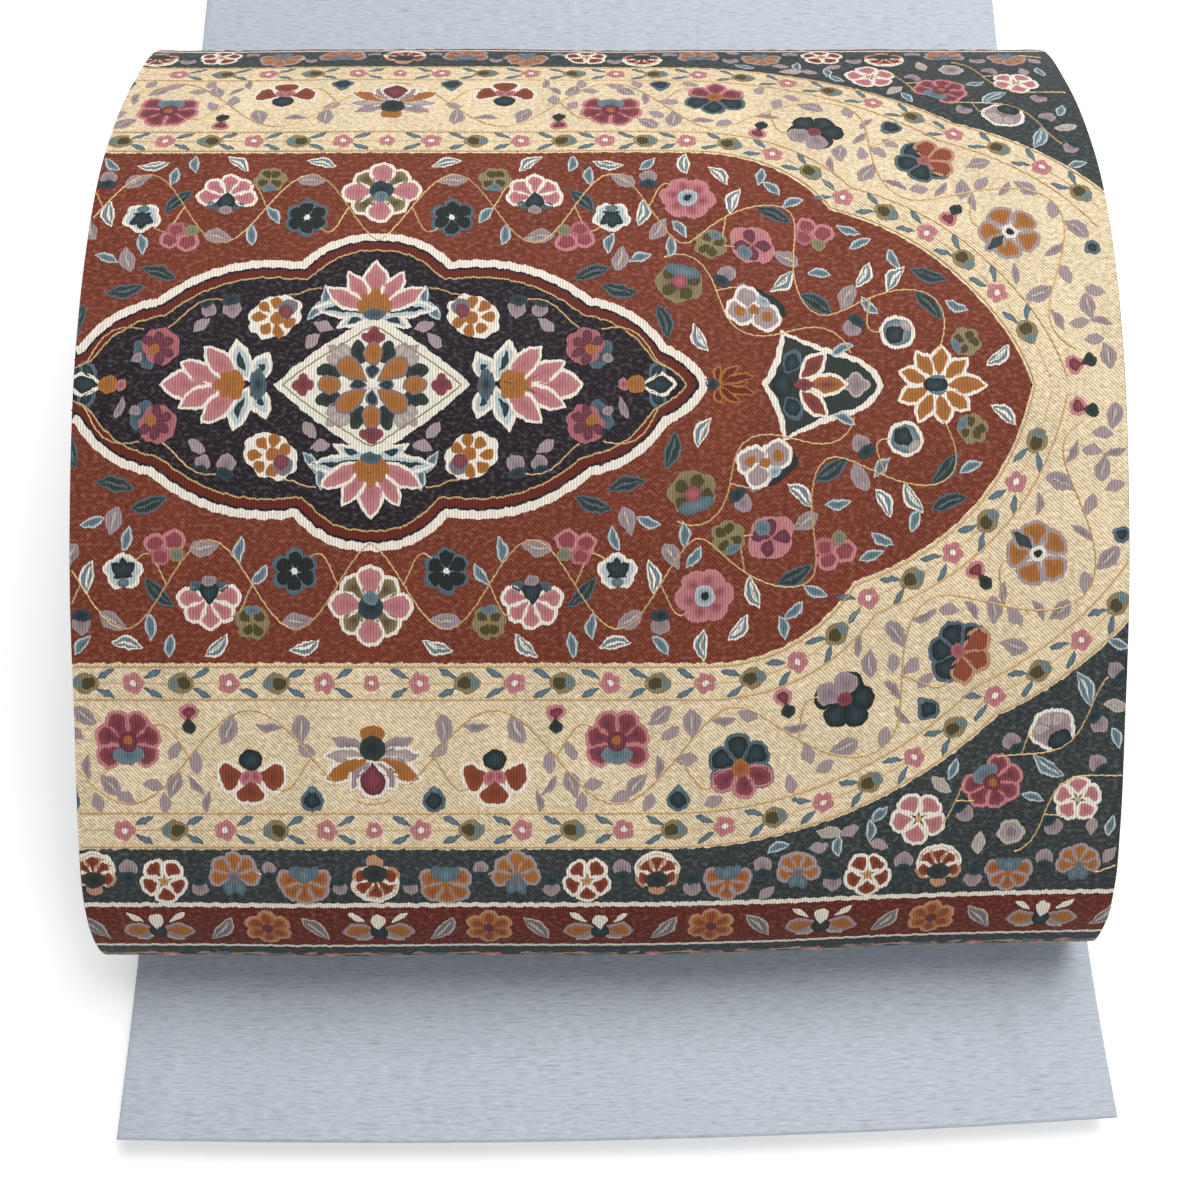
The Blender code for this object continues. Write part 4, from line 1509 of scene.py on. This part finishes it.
def silk_twill(name):
    """Figured silk ground: fine diagonal twill in dyed yarn, a little heathered, with a low sheen.

    The twill lines are taken as 0.5 mm apart on the real cloth and are drawn 0.85 mm apart,
    so that they show.
    """
    twill_pitch = 0.85 * MM
    material, tree, shader = blank_material(name)
    cloth = node(tree, "ShaderNodeUVMap", {"uv_map": "cloth"}).outputs["UV"]
    yarn = node(tree, "ShaderNodeVertexColor", {"layer_name": "yarn"}).outputs["Color"]
    # A diagonal wave repeats every 0.444 / scale
    twill = node(
        tree, "ShaderNodeTexWave",
        {"wave_type": "BANDS", "bands_direction": "DIAGONAL", "wave_profile": "SIN",
         "Scale": 0.4443 / twill_pitch, "Distortion": 1.6, "Detail": 1.0, "Detail Scale": 2.5},
        {"Vector": cloth},
    ).outputs["Fac"]
    fleck = node(
        tree, "ShaderNodeTexNoise", {"Scale": 1.0, "Detail": 2.0},
        {"Vector": stretched(tree, cloth, (620, 900, 1))},
    ).outputs["Fac"]
    cloud = node(
        tree, "ShaderNodeTexNoise", {"Scale": 1.0, "Detail": 3.0},
        {"Vector": stretched(tree, cloth, (38, 30, 1))},
    ).outputs["Fac"]
    depth = node(tree, "ShaderNodeMath", {"operation": "MULTIPLY_ADD", 1: 0.56, 2: 0.69}, {0: twill})
    speck = node(tree, "ShaderNodeMath", {"operation": "MULTIPLY_ADD", 1: 1.1, 2: -0.55}, {0: fleck})
    drift = node(tree, "ShaderNodeMath", {"operation": "MULTIPLY_ADD", 1: 0.44, 2: -0.22}, {0: cloud})
    both = node(tree, "ShaderNodeMath", {"operation": "ADD"}, {0: depth.outputs[0], 1: speck.outputs[0]})
    shade = node(tree, "ShaderNodeMath", {"operation": "ADD"}, {0: both.outputs[0], 1: drift.outputs[0]})
    shaded = node(tree, "ShaderNodeVectorMath", {"operation": "SCALE"},
                  {0: yarn, "Scale": shade.outputs[0]})
    # Pale fibres in the dyed yarn: an even amount of light, so they show on the dark grounds only
    fibres = node(tree, "ShaderNodeMapRange", {"From Min": 0.5, "From Max": 0.8, "To Min": 0.0,
                                               "To Max": 0.07}, {"Value": fleck})
    heather = node(tree, "ShaderNodeVectorMath", {"operation": "ADD"},
                   {0: shaded.outputs["Vector"], 1: fibres.outputs[0]})
    tree.links.new(heather.outputs["Vector"], shader.inputs["Base Color"])
    bump = node(tree, "ShaderNodeBump", {"Strength": 0.35, "Distance": 0.0002}, {"Height": twill})
    tree.links.new(bump.outputs["Normal"], shader.inputs["Normal"])
    shader.inputs["Roughness"].default_value = 0.72
    shader.inputs["Specular IOR Level"].default_value = 0.2
    shader.inputs["Sheen Weight"].default_value = 0.06
    shader.inputs["Sheen Roughness"].default_value = 0.45
    return material


def brocade_weft(name):
    """Motif weave: floating wefts that show as short dark lines along the cloth.

    The lines are taken as 0.4 mm apart on the real cloth and are drawn 0.85 mm apart, so that they show.
    """
    hatch_pitch = 0.85 * MM
    material, tree, shader = blank_material(name)
    cloth = node(tree, "ShaderNodeUVMap", {"uv_map": "cloth"}).outputs["UV"]
    yarn = node(tree, "ShaderNodeVertexColor", {"layer_name": "yarn"}).outputs["Color"]
    hatch = node(
        tree, "ShaderNodeTexWave",
        {"wave_type": "BANDS", "bands_direction": "X", "wave_profile": "SIN",
         "Scale": 0.31416 / hatch_pitch, "Distortion": 1.2, "Detail": 1.0, "Detail Scale": 0.6},
        {"Vector": cloth},
    ).outputs["Fac"]
    broken = node(
        tree, "ShaderNodeTexNoise", {"Scale": 1.0, "Detail": 2.0},
        {"Vector": stretched(tree, cloth, (1100, 330, 1))},
    ).outputs["Fac"]
    lines = node(tree, "ShaderNodeMath", {"operation": "MULTIPLY"}, {0: hatch, 1: broken})
    shade = node(tree, "ShaderNodeMath", {"operation": "MULTIPLY_ADD", 1: 0.9, 2: 0.72},
                 {0: lines.outputs[0]})
    shaded = node(tree, "ShaderNodeVectorMath", {"operation": "SCALE"},
                  {0: yarn, "Scale": shade.outputs[0]})
    tree.links.new(shaded.outputs["Vector"], shader.inputs["Base Color"])
    bump = node(tree, "ShaderNodeBump", {"Strength": 0.4, "Distance": 0.0002}, {"Height": hatch})
    tree.links.new(bump.outputs["Normal"], shader.inputs["Normal"])
    shader.inputs["Roughness"].default_value = 0.68
    shader.inputs["Specular IOR Level"].default_value = 0.24
    shader.inputs["Sheen Weight"].default_value = 0.05
    shader.inputs["Sheen Roughness"].default_value = 0.4
    return material


def gilt_thread(name):
    """Gilt paper thread wound on silk: a soft metal gleam, and its colour flecked lighter and darker along
    it, partly as painted glints and partly for the winding's turns.
    """
    material, tree, shader = blank_material(name)
    cloth = node(tree, "ShaderNodeUVMap", {"uv_map": "cloth"}).outputs["UV"]
    yarn = node(tree, "ShaderNodeVertexColor", {"layer_name": "yarn"}).outputs["Color"]
    # Painted glints: bright flecks in the thread's colour, with darker ones where the winding turns
    glints_and_turns = node(
        tree, "ShaderNodeTexNoise", {"Scale": 1.0, "Detail": 1.0},
        {"Vector": stretched(tree, cloth, (1300, 1300, 1))},
    ).outputs["Fac"]
    shade = node(tree, "ShaderNodeMath", {"operation": "MULTIPLY_ADD", 1: 1.3, 2: 0.45}, {0: glints_and_turns})
    shaded = node(tree, "ShaderNodeVectorMath", {"operation": "SCALE"},
                  {0: yarn, "Scale": shade.outputs[0]})
    tree.links.new(shaded.outputs["Vector"], shader.inputs["Base Color"])
    shader.inputs["Metallic"].default_value = 0.35
    shader.inputs["Roughness"].default_value = 0.42
    return material


def slub_silk(name):
    """Plain pale blue-grey silk: fine plain weave, with darker slubs lying across the cloth.

    The weave's threads are taken as 0.3 mm apart on the real cloth and are drawn 0.7 mm apart to show.
    """
    thread_pitch = 0.7 * MM
    material, tree, shader = blank_material(name)
    cloth = node(tree, "ShaderNodeUVMap", {"uv_map": "cloth"}).outputs["UV"]
    ribs = node(
        tree, "ShaderNodeTexWave",
        {"wave_type": "BANDS", "bands_direction": "Y", "wave_profile": "SIN",
         "Scale": 0.31416 / thread_pitch, "Distortion": 2.0, "Detail": 1.0, "Detail Scale": 0.5},
        {"Vector": cloth},
    ).outputs["Fac"]
    slubs = node(
        tree, "ShaderNodeTexNoise", {"Scale": 1.0, "Detail": 3.0, "Roughness": 0.6},
        {"Vector": stretched(tree, cloth, (110, 1400, 1))},
    ).outputs["Fac"]
    marked = node(tree, "ShaderNodeMapRange", {"From Min": 0.53, "From Max": 0.72, "To Min": 0.0,
                                               "To Max": 1.0}, {"Value": slubs}).outputs[0]
    grain = node(
        tree, "ShaderNodeTexNoise", {"Scale": 1.0, "Detail": 2.0},
        {"Vector": stretched(tree, cloth, (280, 1900, 1))},
    ).outputs["Fac"]
    tone = node(tree, "ShaderNodeMath", {"operation": "MULTIPLY_ADD", 1: 0.7, 2: 0.66}, {0: grain})
    tone = node(tree, "ShaderNodeMath", {"operation": "MULTIPLY_ADD", 1: -0.26},
                {0: marked, 2: tone.outputs[0]})
    base = node(tree, "ShaderNodeVectorMath", {"operation": "SCALE", 0: tuple(PAINT["sky silk"])},
                {"Scale": tone.outputs[0]})
    tree.links.new(base.outputs["Vector"], shader.inputs["Base Color"])
    height = node(tree, "ShaderNodeMath", {"operation": "ADD"}, {0: ribs, 1: marked})
    bump = node(tree, "ShaderNodeBump", {"Strength": 0.25, "Distance": 0.0002},
                {"Height": height.outputs[0]})
    tree.links.new(bump.outputs["Normal"], shader.inputs["Normal"])
    shader.inputs["Roughness"].default_value = 0.5
    shader.inputs["Specular IOR Level"].default_value = 0.4
    shader.inputs["Sheen Weight"].default_value = 0.1
    shader.inputs["Sheen Roughness"].default_value = 0.35
    return material


# ---------------------------------------------------------------- the plain cloth's pieces


def shell_colours(u, at, up):
    """The drum's cloth under its pattern: the figured side's edge is dark, and the rest is plain silk."""
    v = at - (PATTERN_MIDDLE + SEAM_FLAT) / MM + 0 * u
    figured = (np.abs(v) < LAST_LINE) & (up > -0.5)
    colours = np.where(figured[..., None], PAINT["dark edge"], PAINT["sky silk"])
    return np.concatenate([colours, np.ones_like(colours[..., :1])], axis=-1)


def drum_swell(x, at):
    """The same long low waves as the pattern's, with the ground sunk just under the figured weave."""
    v = (at - PATTERN_MIDDLE - SEAM_FLAT) / MM
    sunk = -0.09 * (np.abs(v) < LAST_LINE)
    return (soft_swell(x / MM, v) + sunk) * MM


def tail_line():
    """Flat on the table, then rising gently to the hem, from the hem to the inner fold."""
    y = np.concatenate([
        np.linspace(TAIL_HEM_Y + HALF_THICKNESS, TAIL_LIFT_START_Y, 40),
        np.linspace(TAIL_LIFT_START_Y, INNER_FOLD_Y - SEAM_GAP, 20)[1:],
    ])
    along = (TAIL_LIFT_START_Y - y) / (TAIL_LIFT_START_Y - TAIL_HEM_Y)
    lift = TAIL_LIFT * np.clip(along, 0, 1) ** 1.5
    return np.column_stack([y, HALF_THICKNESS + lift])


def tail_swell(x, at):
    """Low waves that fade out under the drum, and a seam allowance's ridge inside each long edge."""
    free = 1 - eased((at - 0.045) / 0.018)
    side = np.abs(x) - (CLOTH_WIDTH / 2 - 13 * MM)
    ridge = 0.5 * np.exp(-((side / (2.2 * MM)) ** 2))
    crease = 1.1 * np.exp(-(((x - 0.128 - 0.12 * (0.05 - at)) / (5 * MM)) ** 2)) * eased(at / 0.03)
    ridge = ridge + crease
    waves = 0.25 + 0.2 * np.sin(x / (23 * MM) + at / (17 * MM))
    waves = waves + 0.11 * np.sin(x / (9 * MM) - at / (31 * MM))
    hem = 0.18 * np.exp(-(((at - 11 * MM) / (1.4 * MM)) ** 2))
    return (waves + ridge + hem) * free * MM


def underfold_line():
    """The inner fold, then forward over the tail to the drum's roll."""
    turn = arc((INNER_FOLD_Y, LAYER_PITCH / 2 + HALF_THICKNESS), FOLD_RADIUS, -90, 90, 12)
    roll = DRUM_SECTIONS[0][1] + SEAM_FLAT + SEAM_GAP
    run = np.linspace(INNER_FOLD_Y, roll, 24)[1:]
    return np.vstack([turn, np.column_stack([run, np.full(len(run), turn[-1, 1])])])


def band_line():
    """Away over the stack, then down round the far fold to the stack's top layer."""
    level = band_height()
    centre = (FAR_FOLD_Y - FOLD_RADIUS - HALF_THICKNESS, level - FOLD_RADIUS)
    run = np.linspace(DRUM_FOOT_Y + SEAM_GAP, centre[0], 90)[:-1]
    over = np.column_stack([run, np.full(len(run), level)])
    return np.vstack([over, arc(centre, FOLD_RADIUS, 90, -90, 12)])


def band_swell(x, at):
    """Low waves on the band's long run, none at the drum's foot or round the far fold."""
    run = FAR_FOLD_Y - DRUM_FOOT_Y
    free = eased(at / 0.03) * eased((run - 0.012 - at) / 0.03)
    side = np.abs(x) - (CLOTH_WIDTH / 2 - 13 * MM)
    ridge = 0.16 * np.exp(-((side / (1.6 * MM)) ** 2))
    waves = 0.30 + 0.20 * np.sin(x / (37 * MM) + at / (29 * MM))
    waves = waves + 0.10 * np.sin(x / (13 * MM) - at / (41 * MM))
    return (waves + ridge) * free * MM


def stack_line():
    """Six layers folded to and fro, from the top layer at the far fold down to the bottom one."""
    front = STACK_FRONT_Y + LAYER_PITCH
    back = FAR_FOLD_Y - 2 * FOLD_RADIUS - SEAM_GAP - HALF_THICKNESS
    line = []
    for layer in range(STACK_LAYERS - 1, -1, -1):
        level = layer * LAYER_PITCH + HALF_THICKNESS
        forward = (STACK_LAYERS - 1 - layer) % 2 == 0
        ends = (back, front) if forward else (front, back)
        run = np.linspace(*ends, 50)
        line.append(np.column_stack([run, np.full(len(run), level)]))
        if layer == 0:
            break
        centre = (ends[1], level - LAYER_PITCH / 2)
        angles = (90, 270) if forward else (90, -90)
        line.append(arc(centre, LAYER_PITCH / 2, *angles, 10)[1:-1])
    return np.vstack(line)


# ---------------------------------------------------------------- the scene


def make_camera():
    """A 45 mm lens looking down at the drum and a little forward, from above the lip."""
    data = bpy.data.cameras.new("camera")
    data.lens = 45.0
    data.sensor_width = 36.0
    camera = bpy.data.objects.new("camera", data)
    bpy.context.scene.collection.objects.link(camera)
    camera.location = (MIDDLE_X, LIP_Y - 0.042, 0.5023)
    camera.rotation_euler = (math.radians(18.3), 0, 0)
    bpy.context.scene.camera = camera


def make_light(name, place, target, size, power):
    """A square soft box that faces a target."""
    data = bpy.data.lights.new(name, "AREA")
    data.size = size
    data.energy = power
    lamp = bpy.data.objects.new(name, data)
    bpy.context.scene.collection.objects.link(lamp)
    lamp.location = place
    lamp.rotation_euler = (Vector(target) - Vector(place)).to_track_quat("-Z", "Y").to_euler()


def make_room():
    """A pale floor, an even pale sky and two soft boxes, the stronger one behind and above."""
    material, tree, shader = blank_material("pale_paper_floor")
    shader.inputs["Base Color"].default_value = (0.92, 0.92, 0.92, 1)
    shader.inputs["Emission Color"].default_value = (1.0, 1.0, 1.0, 1)
    shader.inputs["Emission Strength"].default_value = 0.3
    shader.inputs["Roughness"].default_value = 0.9
    grain = node(tree, "ShaderNodeTexNoise", {"Scale": 40.0, "Detail": 2.0},
                 {"Vector": node(tree, "ShaderNodeTexCoord").outputs["Object"]})
    bump = node(tree, "ShaderNodeBump", {"Strength": 0.02, "Distance": 0.001},
                {"Height": grain.outputs["Fac"]})
    tree.links.new(bump.outputs["Normal"], shader.inputs["Normal"])
    mesh = bpy.data.meshes.new("floor")
    reach = 3.0
    mesh.from_pydata([(-reach, -reach, 0), (reach, -reach, 0), (reach, reach, 0), (-reach, reach, 0)],
                     [], [(0, 1, 2, 3)])
    mesh.materials.append(material)
    floor = bpy.data.objects.new("floor", mesh)
    bpy.context.scene.collection.objects.link(floor)
    world = bpy.data.worlds.new("pale_sky")
    world.use_nodes = True
    world.node_tree.nodes["Background"].inputs["Color"].default_value = (1.0, 1.0, 1.0, 1)
    world.node_tree.nodes["Background"].inputs["Strength"].default_value = 0.32
    bpy.context.scene.world = world
    target = (MIDDLE_X, LIP_Y + 0.16, 0.06)
    make_light("back soft box", (MIDDLE_X + 0.4, LIP_Y + 0.92, 1.56), target, 1.2, 28.5)
    make_light("front soft box", (MIDDLE_X + 1.0, LIP_Y - 0.8, 1.1), target, 1.2, 5)


def main():
    make_camera()
    make_room()
    bpy.context.scene.view_settings.view_transform = "Standard"

    plain = slub_silk("plain_slubbed_silk")
    twill = silk_twill("figured_silk_twill_ground")
    weft = brocade_weft("figured_silk_brocade_weft")
    gilt = gilt_thread("gilt_paper_thread")

    grounds = weave_grounds()
    lines = Weave("line_weave")
    weave_lines(lines)
    gold = Weave("gold_threads")
    weave_gold_lines(gold)
    flowers = Weave("flower_weave")
    petals = Weave("petal_weave")
    leaves = Weave("leaf_weave")
    weave_motifs(flowers, petals, leaves, gold)
    pattern = [grounds.finish(twill)]
    pattern += [weave.finish(weft) for weave in (lines, flowers, petals, leaves)]
    pattern.append(gold.finish(gilt))

    drum = cloth_wall("taiko_cloth", evenly_walled(DRUM_LINE), twill, -1.0, swell=drum_swell,
                      lean=lip_lean, colours=shell_colours)
    tail = cloth_wall("tare_cloth", tail_line(), plain, 0.0, shift=tail_shift, lean=tail_lean,
                      swell=tail_swell, start_round=True)
    underfold = cloth_wall("underfold_cloth", underfold_line(), plain, 0.0, across=5 * MM,
                           shift=underfold_shift, lean=underfold_lean)
    band = cloth_wall("band_cloth", band_line(), plain, 0.0, swell=band_swell)
    stack = cloth_wall("folded_cloth", stack_line(), plain, 0.0, across=10 * MM, end_round=True)

    # piece, CAD node it stands for, its slot, flat length in metres, how it is held, what it lies on
    pieces = (
        (tail, "tare_tail", "plain_silk", 0.141, "laid", []),
        (underfold, "taiko_underfold", "plain_silk", 0.068, "folded", ["tare_cloth"]),
        (drum, "taiko_face", "tapestry_silk", 0.429, "draped", ["underfold_cloth", "folded_cloth"]),
        (band, "sash_band", "plain_silk", 0.309, "laid", ["folded_cloth"]),
        (stack, "folded_sash", "plain_silk", 3.240, "folded", []),
    )
    for piece, cad_node, slot, length, held, rests_on in pieces:
        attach(piece, "root")
        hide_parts(cad_node)
    for piece in pattern:
        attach(piece, "root")


def evenly_walled(line):
    """The drum's line with its points 2.5 mm apart, and 1 mm apart round the foot."""
    at = distances(line)
    fine = at[-1] - 0.016
    wanted = np.concatenate([np.arange(0, fine, 2.5 * MM), np.linspace(fine, at[-1], 17)])
    return np.column_stack([np.interp(wanted, at, line[:, 0]), np.interp(wanted, at, line[:, 1])])


main()
